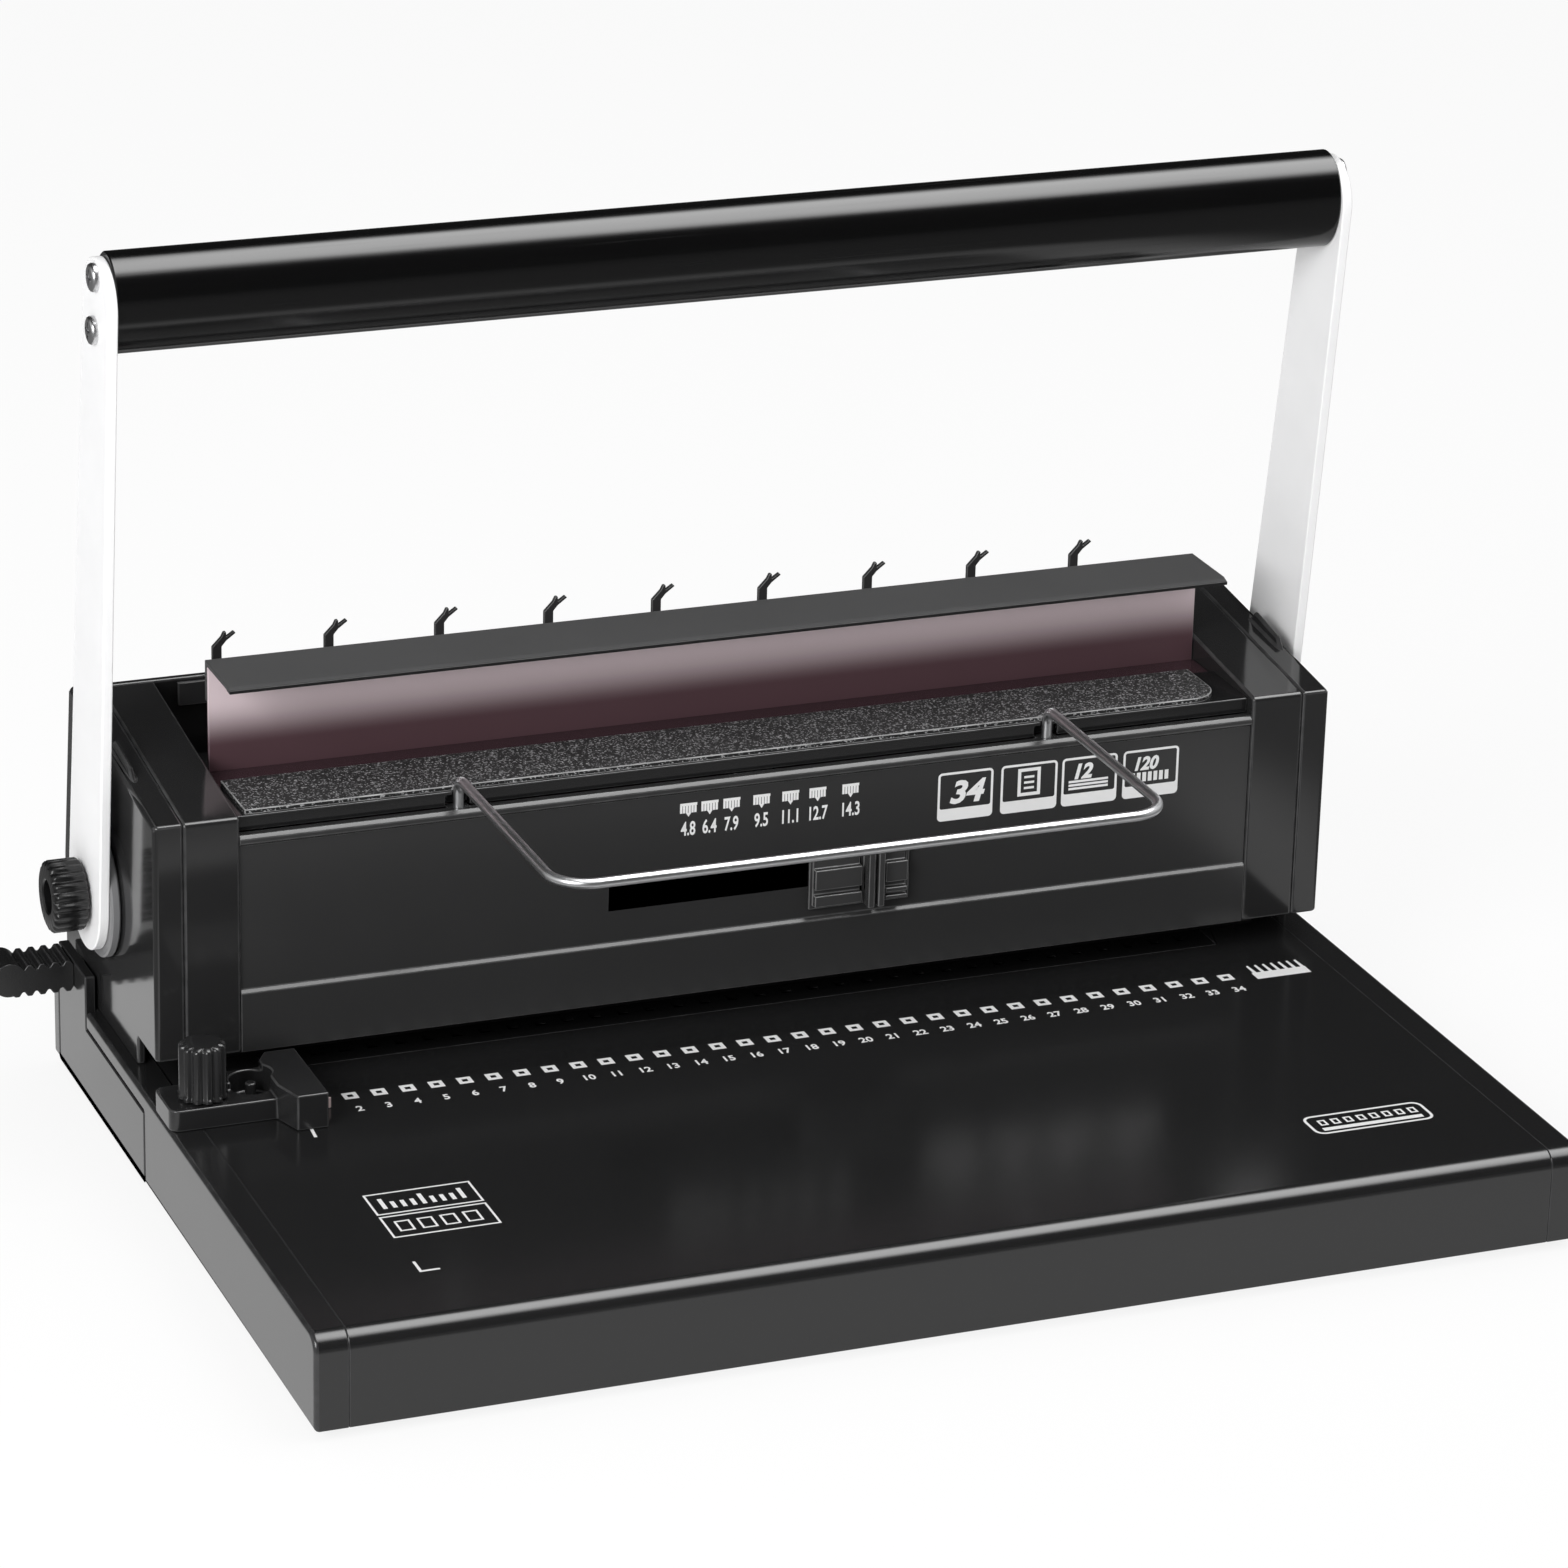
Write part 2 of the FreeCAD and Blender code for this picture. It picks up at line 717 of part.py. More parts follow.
def base_deck():
    body = new_body("base_deck")
    section = [
        ("-base_reach", "foot_height"), ("-base_reach", "deck_top"),
        ("base_reach", "deck_top"), ("base_reach", "foot_height"),
        ("inner_reach", "foot_height"), ("inner_reach", "deck_under"),
        ("-inner_reach", "deck_under"), ("-inner_reach", "foot_height")]
    pad(body, "YZ_Plane", "-deck_half", "deck_half", [section])
    soften(body, "Fillet", "edge_round", front_edge_of_base)
    # rim under the deck that carries the die
    pad(body, "XY_Plane", "deck_under - shelf_depth", "deck_under", [box(
        "die_left - shelf_width", "die_front - shelf_width",
        "die_right + shelf_width", "die_rear + shelf_width")])
    pocket(body, "XY_Plane", "deck_under - shelf_depth", "deck_under", [box(
        "die_left + shelf_width", "die_front + shelf_width",
        "die_right - shelf_width", "die_rear - shelf_width")])
    pocket(body, "XY_Plane", "deck_under", "deck_top", [box(
        "die_left - close_fit", "die_front - close_fit",
        "die_right + close_fit", "die_rear + close_fit")])
    # slot that the edge guide's screw runs in
    pocket(body, "XY_Plane", "deck_under", "deck_top", [box(
        "guide_knob_x - guide_slot_reach", "guide_knob_y - guide_slot_reach",
        "guide_knob_x + guide_travel + guide_slot_reach", "guide_knob_y + guide_slot_reach")])
    # posts that the bottom plate is bolted to
    pad(body, "XY_Plane", "bottom_top", "deck_under", [square(x, y, "post_half") for x, y in POST_SPOTS])


def end_cap(side_name, side):
    body = new_body(f"base_end_cap_{side_name}")
    low, high = stretch(side, "deck_half", "base_half")
    outer = box("-base_reach", "foot_height", "base_reach", "deck_top")
    pad(body, "YZ_Plane", low, high, [outer])
    soften(body, "Fillet", "edge_round", front_edge_of_base)
    low, high = stretch(side, "deck_half", "base_half - cap_wall")
    pocket(body, "YZ_Plane", low, high, [box(
        "cap_wall * 2 - base_reach", "foot_height + cap_wall", "base_reach - cap_wall * 2", "deck_under")])
    return body


def end_caps():
    end_cap("right", 1)
    body = end_cap("left", -1)
    # window for the waste tray, a seat for its end plate, and a notch for the plate's ear
    pocket(body, "YZ_Plane", "-base_half", "-deck_half", [box(
        "tray_front - loose_fit", "bottom_top", "tray_rear + loose_fit", "tray_plate_top")])
    pocket(body, "YZ_Plane", "-base_half", "tray_left + loose_fit", [[
        ("tray_plate_near - loose_fit", "bottom_top"), ("tray_plate_far + loose_fit", "bottom_top"),
        ("tray_plate_far + loose_fit", "deck_top"), ("ear_near - loose_fit", "deck_top"),
        ("ear_near - loose_fit", "tray_plate_top + loose_fit"),
        ("tray_plate_near - loose_fit", "tray_plate_top + loose_fit")]])


def base_bottom():
    body = new_body("base_bottom_plate")
    pad(body, "XY_Plane", "foot_height", "bottom_top", [box(
        "-deck_half", "close_fit - inner_reach", "deck_half", "inner_reach - close_fit")])
    body = new_body("bottom_bolts")
    pad(body, "XY_Plane", "foot_height - bolt_head_height", "foot_height", [
        square(x, y, "bolt_head_half") for x, y in POST_SPOTS])
    body = new_body("rubber_feet")
    pad(body, "XY_Plane", "0", "foot_height", [(x, y, "foot_radius") for x, y in FOOT_SPOTS])


# Punch and die
def square_row(body, make, low, high, half):
    first = make(body, "XY_Plane", low, high, [square("first_hole_x", "die_line", half)])
    row_of(body, first, "row_length", "hole_count")


def die_and_guides():
    body = new_body("die_plate")
    pad(body, "XY_Plane", "deck_under", "deck_top", [box("die_left", "die_front", "die_right", "die_rear")])
    square_row(body, pocket, "deck_under", "deck_top", "hole_half")
    body = new_body("paper_stop")
    pad(body, "XY_Plane", "deck_top", "slit_top", [box(
        "-frame_outer", "stop_front", "frame_outer", "stop_rear")])
    body = new_body("punch_guide")
    pad(body, "XY_Plane", "slit_top", "guide_top", [box(
        "-frame_outer", "guide_front", "frame_outer", "stop_rear")])
    # lead-in bevel along the front of the slit
    soften(body, "Chamfer", "guide_thick / 2", lambda edge: lies_at(edge, y="guide_front", z="slit_top"))
    square_row(body, pocket, "slit_top", "guide_top", "hole_half")


def punch_parts():
    body = new_body("punch_bar")
    pad(body, "YZ_Plane", "bar_left", "bar_right", [[
        ("pin_rear", "bar_bottom"), ("bar_rear", "bar_bottom"), ("bar_rear", "bar_top"),
        ("pin_front", "bar_top"), ("pin_front", "pin_top"), ("pin_rear", "pin_top")]])
    body = new_body("punch_pins")
    square_row(body, pad, "pin_tip", "pin_top", "pin_side / 2")
    body = new_body("pin_clamp_plate")
    pad(body, "YZ_Plane", "bar_left", "bar_right", [box(
        "pin_front - clamp_thick", "bar_bottom", "pin_front", "bar_top")])


# Slotted forks by which the cranks pull the punch bar down
def punch_yokes():
    for side_name, side in SIDES.items():
        body = new_body(f"punch_yoke_{side_name}")
        low, high = stretch(side, "yoke_inner", "yoke_outer")
        pad(body, "YZ_Plane", low, high, [[
            ("bar_rear", "yoke_bottom"), ("yoke_slot_front - yoke_web", "yoke_bottom"),
            ("yoke_end", "yoke_slot_low - yoke_prong"), ("yoke_end", "yoke_slot_low"),
            ("yoke_slot_front", "yoke_slot_low"), ("yoke_slot_front", "yoke_slot_high"),
            ("yoke_end", "yoke_slot_high"), ("yoke_end", "yoke_slot_high + yoke_prong"),
            ("bar_rear", "yoke_slot_high + yoke_prong")]])
        # foot screwed to the rear of the bar
        low, high = stretch(side, "yoke_inner - yoke_foot", "yoke_inner")
        pad(body, "YZ_Plane", low, high, [box("bar_rear", "yoke_bottom", "bar_rear + yoke_thick", "bar_top")])


# Frames, shaft and cranks
def side_frames():
    for side_name, side in SIDES.items():
        body = new_body(f"side_frame_{side_name}")
        low, high = stretch(side, "frame_inner", "frame_outer")
        pad(body, "YZ_Plane", low, high, [[
            ("guide_front", "guide_top"), ("stop_rear", "guide_top"), ("stop_rear", "deck_top"),
            ("frame_rear", "deck_top"), ("frame_rear", "frame_top - frame_corner"),
            ("frame_rear - frame_corner", "frame_top"), ("guide_front + frame_corner", "frame_top"),
            ("guide_front", "frame_top - frame_corner")]])
        pocket(body, "YZ_Plane", low, high, [
            square("shaft_y", "shaft_z", "bearing_half"), ("rod_y", "rod_z", "rod_radius")])
        # foot flange on the deck
        low, high = stretch(side, "frame_outer", "frame_outer + frame_foot")
        pad(body, "YZ_Plane", low, high, [box(
            "stop_rear + frame_foot_inset", "deck_top",
            "frame_rear - frame_foot_inset", "deck_top + frame_thick")])
        body = new_body(f"shaft_bearing_{side_name}")
        low, high = stretch(side, "frame_inner", "bearing_face")
        pad(body, "YZ_Plane", low, high, [
            square("shaft_y", "shaft_z", "bearing_half"),
            ("shaft_y", "shaft_z", "shaft_radius + running_gap")])
    body = new_body("frame_tie_rod")
    pad(body, "YZ_Plane", "-frame_outer", "frame_outer", [("rod_y", "rod_z", "rod_radius")])


# The shaft, with squared ends for the arms and a thread beyond them
def drive_shaft():
    body = new_body("drive_shaft")
    pad(body, "YZ_Plane", "-arm_inner", "arm_inner", [("0", "0", "shaft_radius")])
    pad(body, "YZ_Plane", "-arm_outer", "arm_outer", [square("0", "0", "spigot_half")])
    pad(body, "YZ_Plane", "thread_drop - knob_face", "nut_face", [("0", "0", "thread_radius")])
    about_shaft(body, "arm_lean_angle")


# Cranks drawn level, with the closer's pin outside and the punch's pin inside
def cranks():
    for side_name, side in SIDES.items():
        body = new_body(f"crank_{side_name}")
        low, high = stretch(side, "crank_inner", "crank_outer")
        pad(body, "YZ_Plane", low, high, [[
            ("crank_eye", "-crank_eye / 2"), ("crank_eye", "crank_eye / 2"), ("0", "crank_eye"),
            ("-crank_throw", "crank_tip"), ("-(crank_throw + crank_tip)", "crank_tip / 2"),
            ("-(crank_throw + crank_tip)", "-crank_tip / 2"), ("-crank_throw", "-crank_tip"),
            ("0", "-crank_eye")], ("0", "0", "shaft_radius")])
        low, high = stretch(side, "crank_outer", "leg_outer + crank_pin_end")
        pad(body, "YZ_Plane", low, high, [("-crank_throw", "0", "crank_pin_radius")])
        low, high = stretch(side, "yoke_inner - crank_pin_end", "crank_inner")
        pad(body, "YZ_Plane", low, high, [("-punch_throw", "0", "crank_pin_radius")])
        about_shaft(body, "-crank_rest_angle")


# Housing: its side outline, moved in by an inset on the front, top and rear
def housing_outline(inset):
    front = f"(housing_front + {inset})"
    rear = f"(base_reach - {inset})"
    return [
        (front, "mouth_top"), ("mouth_rear", "mouth_top"), ("mouth_rear", "deck_top"),
        (rear, "deck_top"), (rear, "knee_z"), (f"rear_top_y - {inset}", f"{top_at('rear_top_y')} - {inset}"),
        (front, f"{top_at('housing_front')} - {inset}")]


def side_covers():
    for side_name, side in SIDES.items():
        body = new_body(f"side_cover_{side_name}")
        low, high = stretch(side, "cover_inner", "housing_half")
        pad(body, "YZ_Plane", low, high, [housing_outline("0")])
        outer = f"{side} * housing_half"
        soften(body, "Fillet", "cover_round", lambda edge: lies_at(edge, x=outer)
               and edge.BoundBox.ZMax > number("mouth_top") + SAME)
        low, high = stretch(side, "cover_inner", "housing_half - shell_wall")
        pocket(body, "YZ_Plane", low, high, [housing_outline("shell_wall")])
        low, high = stretch(side, "housing_half - shell_wall", "housing_half")
        pocket(body, "YZ_Plane", low, high, [("shaft_y", "shaft_z", "shaft_radius + loose_fit")])
        # guard lip on the outer top edge beside the closer
        low, high = stretch(side, "housing_half - cover_round - guard_thick", "housing_half - cover_round")
        pad(body, "YZ_Plane", low, high, [[
            ("guard_front", f"{top_at('guard_front')} - guard_root"),
            ("guard_rear", f"{top_at('guard_rear')} - guard_root"),
            ("guard_rear", top_at("guard_rear")),
            ("guard_rear - guard_height", f"{top_at('guard_rear')} + guard_height"),
            ("guard_front + guard_height", f"{top_at('guard_front')} + guard_height"),
            ("guard_front", top_at("guard_front"))]])


# Inner cheeks beside the closer's well
def well_cheeks():
    wall_front = "housing_front + shell_wall"
    lip_back = "housing_front + shell_wall + cheek_lip"
    for side_name, side in SIDES.items():
        body = new_body(f"well_cheek_{side_name}")
        low, high = stretch(side, "cheek_inner", "cover_inner")
        pad(body, "YZ_Plane", low, high, [[
            ("housing_front", "mouth_top"), ("rear_top_in", "mouth_top"),
            ("rear_top_in", top_at("rear_top_in")), ("housing_front", top_at("housing_front"))]])
        soften(body, "Fillet", "cover_round",
               lambda edge: lies_at(edge, y="housing_front", z=top_at("housing_front")))
        # hollow, open to the side cover
        low, high = stretch(side, "cheek_inner + shell_wall", "cover_inner")
        pocket(body, "YZ_Plane", low, high, [[
            (wall_front, "mouth_top + shell_wall"), (lip_back, "mouth_top + shell_wall"),
            (lip_back, "mouth_top"), ("rear_top_in", "mouth_top"),
            ("rear_top_in", f"{top_at('rear_top_in')} - shell_wall"),
            (wall_front, f"{top_at('housing_front')} - shell_wall")]])
        # below the well the inner wall stays open for the bars and the shaft
        low, high = stretch(side, "cheek_inner", "cheek_inner + shell_wall")
        pocket(body, "YZ_Plane", low, high, [box(lip_back, "mouth_top", "rear_top_in", "well_floor")])


def front_cover():
    body = new_body("front_cover")
    pad(body, "YZ_Plane", "-cheek_inner", "cheek_inner", [[
        ("housing_front", "mouth_top"), ("rib_back", "mouth_top"),
        ("rib_back", "mouth_top + shell_wall"), ("panel_back", "mouth_top + shell_wall"),
        ("panel_back", "rail_top - shell_wall"), ("rail_back", "rail_top - shell_wall"),
        ("rail_back", "rail_top"), ("recess_face", "rail_top"),
        ("housing_front", "rail_top - panel_recess"), ("housing_front", "recess_high"),
        ("recess_face", "recess_high - panel_recess"), ("recess_face", "recess_low + panel_recess"),
        ("housing_front", "recess_low")]])
    # two ribs inside keep the stop bar level
    ribs = [("stop_bar_low - loose_fit - rib_thick", "stop_bar_low - loose_fit"),
            ("stop_bar_high + loose_fit", "stop_bar_high + loose_fit + rib_thick")]
    for low, high in ribs:
        pad(body, "XZ_Plane", "panel_back", "rib_back", [box(
            "slot_left - rib_overhang", low, "slot_right + rib_overhang", high)])
    # sockets for the paper bail
    pad(body, "XY_Plane", "socket_low", "rail_top", [box(
        f"{sign}bail_foot_x - socket_half", "recess_face", f"{sign}bail_foot_x + socket_half",
        "bail_foot_y + socket_half") for sign in ("-", "")])
    pocket(body, "XY_Plane", "bail_foot_z - close_fit", "rail_top", [
        (f"{sign}bail_foot_x", "bail_foot_y", "bail_radius + close_fit") for sign in ("-", "")])
    pocket(body, "XZ_Plane", "housing_front", "panel_back", [box(
        "slot_left", "slot_low", "slot_right", "slot_high")])


def rear_cover():
    body = new_body("rear_cover")
    pad(body, "YZ_Plane", "-cover_inner", "cover_inner", [[
        ("base_reach", "deck_top"), ("base_reach", "knee_z"), ("rear_top_y", top_at("rear_top_y")),
        ("rear_top_in", top_at("rear_top_in")), ("rear_in", "knee_z"), ("rear_in", "deck_top")]])


def well_parts():
    body = new_body("closer_ledge")
    pad(body, "YZ_Plane", "-cheek_inner", "cheek_inner", [[
        ("ledge_front", "ledge_under"), ("plate_front - loose_fit", "ledge_under"),
        ("plate_front - loose_fit", "anvil_top"), ("strip_rear + ledge_step", "anvil_top"),
        ("strip_rear", "strip_seat"), ("ledge_front", "strip_seat")]])
    # clear of the bail sockets below, and of the wire alone above them
    pocket(body, "XY_Plane", "ledge_under", "rail_top + loose_fit", [
        square(f"{sign}bail_foot_x", "bail_foot_y", "(socket_half + loose_fit)") for sign in ("-", "")])
    pocket(body, "XY_Plane", "ledge_under", "strip_seat", [
        (f"{sign}bail_foot_x", "bail_foot_y", "bail_radius + loose_fit") for sign in ("-", "")])
    body = new_body("grip_strip")
    pad(body, "XY_Plane", "strip_seat", "strip_top", [box(
        "strip_left", "strip_front", "strip_right", "strip_rear")])
    soften(body, "Fillet", "strip_round", lambda edge: lies_at(edge, x="strip_right", y="strip_front"))
    pocket(body, "XY_Plane", "strip_seat", "strip_top", [
        (f"{sign}bail_foot_x", "bail_foot_y", "bail_radius + loose_fit") for sign in ("-", "")])
    body = new_body("well_floor")
    pad(body, "YZ_Plane", "-cheek_inner", "cheek_inner", [[
        ("floor_front", "well_floor - well_floor_lip"), ("floor_lip_back", "well_floor - well_floor_lip"),
        ("floor_lip_back", "well_floor"), ("floor_rear", "well_floor"),
        ("floor_rear", "well_floor_top"), ("floor_front", "well_floor_top")]])


# Wire closer
def closer_parts():
    body = new_body("closer_back_plate")
    pad(body, "XZ_Plane", "plate_front", "plate_back", [box(
        "closer_left", "plate_bottom", "closer_right", "flap_under")])
    for side in SIDES.values():
        low, high = stretch(side, "notch_inner", "notch_outer")
        pocket(body, "XZ_Plane", "plate_front", "plate_back", [box(low, "plate_bottom", high, "notch_top")])
    body = new_body("closer_flap")
    pad(body, "YZ_Plane", "closer_left", "closer_right", [[
        ("flap_front", "lip_under"), ("flap_front + lip_width", "lip_under"),
        ("flap_front + lip_width + lip_blend", "flap_under"), ("plate_back", "flap_under"),
        ("plate_back", "flange_low"), ("flange_back", "flange_low"), ("flange_back", "flap_top"),
        ("flap_front + nose_run", "flap_top"), ("flap_front", "flap_top - nose_drop")]])
    for side_name, side in SIDES.items():
        body = new_body(f"closer_leg_{side_name}")
        low, high = stretch(side, "leg_inner", "leg_outer")
        pad(body, "YZ_Plane", low, high, [[
            ("leg_front", "leg_bottom"), ("plate_front", "leg_bottom"), ("plate_front", "leg_top"),
            ("leg_front + leg_corner", "leg_top"), ("leg_front", "leg_top - leg_corner")]])
        pocket(body, "YZ_Plane", low, high, [box(
            "leg_slot_front", "leg_slot_low", "leg_slot_rear", "leg_slot_high")])
        low, high = stretch(side, "leg_outer", "leg_outer + leg_flange")
        pad(body, "YZ_Plane", low, high, [box(
            "plate_front - leg_thick", "plate_bottom", "plate_front", "leg_top")])
    # finger that meets the stepped bar when the size is set small
    body = new_body("closer_stop_finger")
    pad(body, "YZ_Plane", "-finger_half", "finger_half", [[
        ("plate_front", "finger_low"), ("plate_front", "leg_top"), ("finger_front", "leg_top"),
        ("finger_front", "finger_under"), ("finger_back", "finger_under"), ("finger_back", "finger_low")]])


# Size slider on the front panel
def size_slider():
    body = new_body("size_slider")
    pad(body, "XZ_Plane", "slider_face", "slider_back", [box(
        "slider_left", "slider_low", "slider_right", "slider_high")])
    pad(body, "XZ_Plane", "slider_face - pad_rise", "slider_face", [
        box("slider_left + pad_inset", "slider_low + pad_inset", "ridge_left - pad_inset",
            "slider_high - pad_inset"),
        box("ridge_right + pad_inset", "slider_low + pad_inset", "slider_right - pad_inset",
            "slider_high - pad_inset")])
    pad(body, "XZ_Plane", "slider_face - ridge_rise", "slider_face", [box(
        "ridge_left", "slider_low", "ridge_right", "slider_high")])
    # stem through the slot
    pad(body, "XZ_Plane", "slider_back", "stop_bar_front", [box(
        "slider_left + stem_inset", "slot_low + loose_fit",
        "slider_right - stem_inset", "slot_high - loose_fit")])
    body = new_body("size_stop_bar")
    # a stair of steps along the top of the bar
    points = [("stop_bar_left", "stop_bar_low"), ("slider_right", "stop_bar_low"),
              ("slider_right", "stop_bar_high")]
    for step in range(SIZES["stop_bar_steps"]):
        x = f"slider_right - {step + 1} * (slider_right - stop_bar_left) / (stop_bar_steps + 1)"
        points.append((x, f"stop_bar_high - {step} * stop_bar_drop / stop_bar_steps"))
        points.append((x, f"stop_bar_high - {step + 1} * stop_bar_drop / stop_bar_steps"))
    points.append(("stop_bar_left", "stop_bar_high - stop_bar_drop"))
    pad(body, "XZ_Plane", "stop_bar_front", "stop_bar_front + stop_bar_thick", [points])


# Hooks that hold the wire while sheets are loaded
def wire_hooks():
    body = new_body("hook_rail")
    pad(body, "YZ_Plane", "hook_first - hook_rail_end", "hook_first + hook_row + hook_rail_end", [box(
        "hook_back", "hook_foot", "rear_top_in", "hook_base - hook_rail_drop")])
    body = new_body("wire_hooks")
    left = "hook_first - hook_half"
    right = "hook_first + hook_half"
    # the stem narrows to a neck that leans over and forks into a short and a long prong
    first = pad(body, "XZ_Plane", "hook_back - hook_thick", "hook_back", [[
        (left, "hook_foot"), (right, "hook_foot"), (right, "hook_knee"),
        ("hook_neck_x + hook_neck", "hook_fork_z - hook_neck"),
        ("hook_neck_x + hook_prong_reach", "hook_tip - hook_prong"),
        ("hook_neck_x + hook_prong_reach - hook_prong", "hook_tip"),
        ("hook_neck_x + hook_neck", "hook_fork_z + hook_neck / 2"),
        ("hook_neck_x + hook_neck", "hook_tip"), ("hook_neck_x", "hook_tip"),
        ("hook_neck_x - hook_neck", "hook_fork_z + hook_neck / 2"),
        (left, "hook_knee")]])
    row_of(body, first, "hook_row", "hook_count")


# Handle: its pieces are drawn upright about the pivot and then leaned forward
SCREW_SPOTS = ["(arm_length - grip_screw_pitch / 2)", "(arm_length + grip_screw_pitch / 2)"]


def handle_parts():
    for side_name, side in SIDES.items():
        body = new_body(f"handle_arm_{side_name}")
        low, high = stretch(side, "arm_inner", "arm_outer")
        pad(body, "YZ_Plane", low, high, [("0", "0", "arm_foot_radius")])
        pad(body, "YZ_Plane", low, high, [("0", "arm_length", "arm_top_radius")])
        pad(body, "YZ_Plane", low, high, [[
            ("-arm_foot_radius", "0"), ("arm_foot_radius", "0"),
            ("arm_top_radius", "arm_length"), ("-arm_top_radius", "arm_length")]])
        pocket(body, "YZ_Plane", low, high, [square("0", "0", "spigot_half")])
        about_shaft(body, "arm_lean_angle")
        body = new_body(f"hub_washer_{side_name}")
        low, high = stretch(side, "housing_half + hub_gap", "arm_inner")
        pad(body, "YZ_Plane", low, high, [("0", "0", "hub_radius"), ("0", "0", "shaft_radius")])
        about_shaft(body, "arm_lean_angle")
    body = new_body("grip_screws")
    for side in SIDES.values():
        low, high = stretch(side, "arm_outer", "arm_outer + grip_head_height")
        pad(body, "YZ_Plane", low, high, [("0", spot, "grip_head_radius") for spot in SCREW_SPOTS])
    about_shaft(body, "arm_lean_angle")


# An oval bar along X, its long axis along the arms
def handle_grip():
    oval = doc.addObject("Part::Ellipse", "grip_oval")
    oval.setExpression("MajorRadius", bound("grip_long"))
    oval.setExpression("MinorRadius", bound("grip_short"))
    grip = doc.addObject("Part::Extrusion", "handle_grip")
    grip.Label = "handle_grip"
    grip.Base = oval
    grip.DirMode = "Custom"
    grip.Dir = FreeCAD.Vector(0, 0, 1)
    grip.Solid = True
    grip.setExpression("LengthFwd", bound("arm_inner * 2"))
    lean = math.radians(number("arm_lean_angle"))
    along = FreeCAD.Vector(0, -math.sin(lean), math.cos(lean))
    across = FreeCAD.Vector(0, -math.cos(lean), -math.sin(lean))
    turned = FreeCAD.Rotation(along, across, FreeCAD.Vector(1, 0, 0), "ZXY")
    pivot = FreeCAD.Vector(-number("arm_inner"), number("shaft_y"), number("shaft_z"))
    grip.Placement = FreeCAD.Placement(pivot + along * number("arm_length"), turned)
    pieces.append(grip)


def pivot_fittings():
    centre = ("shaft_y", "shaft_z")
    body = new_body("pivot_knob")
    pad(body, "YZ_Plane", "-knob_far", "-knob_near", [
        ("0", "0", "knob_radius"), ("0", "0", "thread_radius + running_gap")], centre)
    pocket(body, "YZ_Plane", "-knob_far", "-knob_face", [("0", "0", "knob_recess_radius")], centre)
    flutes(body, "YZ_Plane", "-knob_far", "-knob_near", "knob_radius", "knob_flute_depth",
           "knob_flutes", centre)
    body = new_body("shaft_nut")
    corners = [(f"nut_radius * cos({angle})", f"nut_radius * sin({angle})") for angle in range(0, 360, 60)]
    pad(body, "YZ_Plane", "arm_outer", "nut_face", [corners, ("0", "0", "thread_radius")], centre)


# Edge guide that sets where the sheets' edge lies
def edge_guide():
    body = new_body("edge_guide")
    pad(body, "XY_Plane", "guide_floor", "guide_face", [box(
        "guide_left", "guide_near", "guide_right", "guide_far")])
    pad(body, "XY_Plane", "guide_floor", "block_top", [[
        ("block_left", "guide_near"), ("block_left + block_bevel", "block_near"),
        ("block_right", "block_near"), ("block_right", "block_far"),
        ("block_left + block_bevel", "block_far"), ("block_left", "guide_far")]])
    soften(body, "Fillet", "guide_corner",
           lambda edge: runs_along(edge, "Z") and lies_at(edge, x="guide_left"))
    # raised rail behind the knob, then a round well with a small pin in it
    pad(body, "XY_Plane", "guide_floor", "guide_face + guide_rail_rise", [box(
        "guide_knob_x + guide_knob_radius + loose_fit", "guide_far - guide_rail_depth",
        "block_left + block_bevel", "guide_far")])
    pocket(body, "XY_Plane", "guide_floor + well_bottom", "block_top", [("well_x", "well_y", "well_radius")])
    pad(body, "XY_Plane", "guide_floor + well_bottom", "guide_face + well_pin_rise", [
        ("well_x", "well_y", "well_pin_radius")])
    pocket(body, "XY_Plane", "guide_floor", "guide_face", [
        ("guide_knob_x", "guide_knob_y", "guide_screw_radius + running_gap")])
    body = new_body("guide_pointer")
    pad(body, "XY_Plane", "guide_floor", "guide_floor + pointer_rise", [[
        ("block_right", "pointer_y - pointer_half"), ("block_right + pointer_reach", "pointer_y"),
        ("block_right", "pointer_y + pointer_half")]])
    body = new_body("guide_nut")
    pad(body, "XY_Plane", "guide_nut_under", "guide_nut_top", [
        square("guide_knob_x", "guide_knob_y", "guide_nut_half"),
        ("guide_knob_x", "guide_knob_y", "guide_screw_radius + running_gap")])
    body = new_body("guide_screw")
    pad(body, "XY_Plane", "guide_nut_under - guide_screw_end", "guide_knob_floor", [
        ("guide_knob_x", "guide_knob_y", "guide_screw_radius")])
    body = new_body("edge_guide_knob")
    centre = ("guide_knob_x", "guide_knob_y")
    pad(body, "XY_Plane", "guide_knob_floor", "guide_knob_top", [("0", "0", "guide_knob_radius")], centre)
    flutes(body, "XY_Plane", "guide_knob_floor", "guide_knob_top", "guide_knob_radius", "guide_flute_depth",
           "guide_knob_flutes", centre)
    soften(body, "Chamfer", "guide_knob_bevel", lambda edge: lies_at(edge, z="guide_knob_top"))


# Each rib of the tray's tab: shares of the rib's pitch, and how much of its rise stands there
RIB_STEPS = ((0.0, 0), (0.25, 1), (0.6, 1), (0.85, 0))


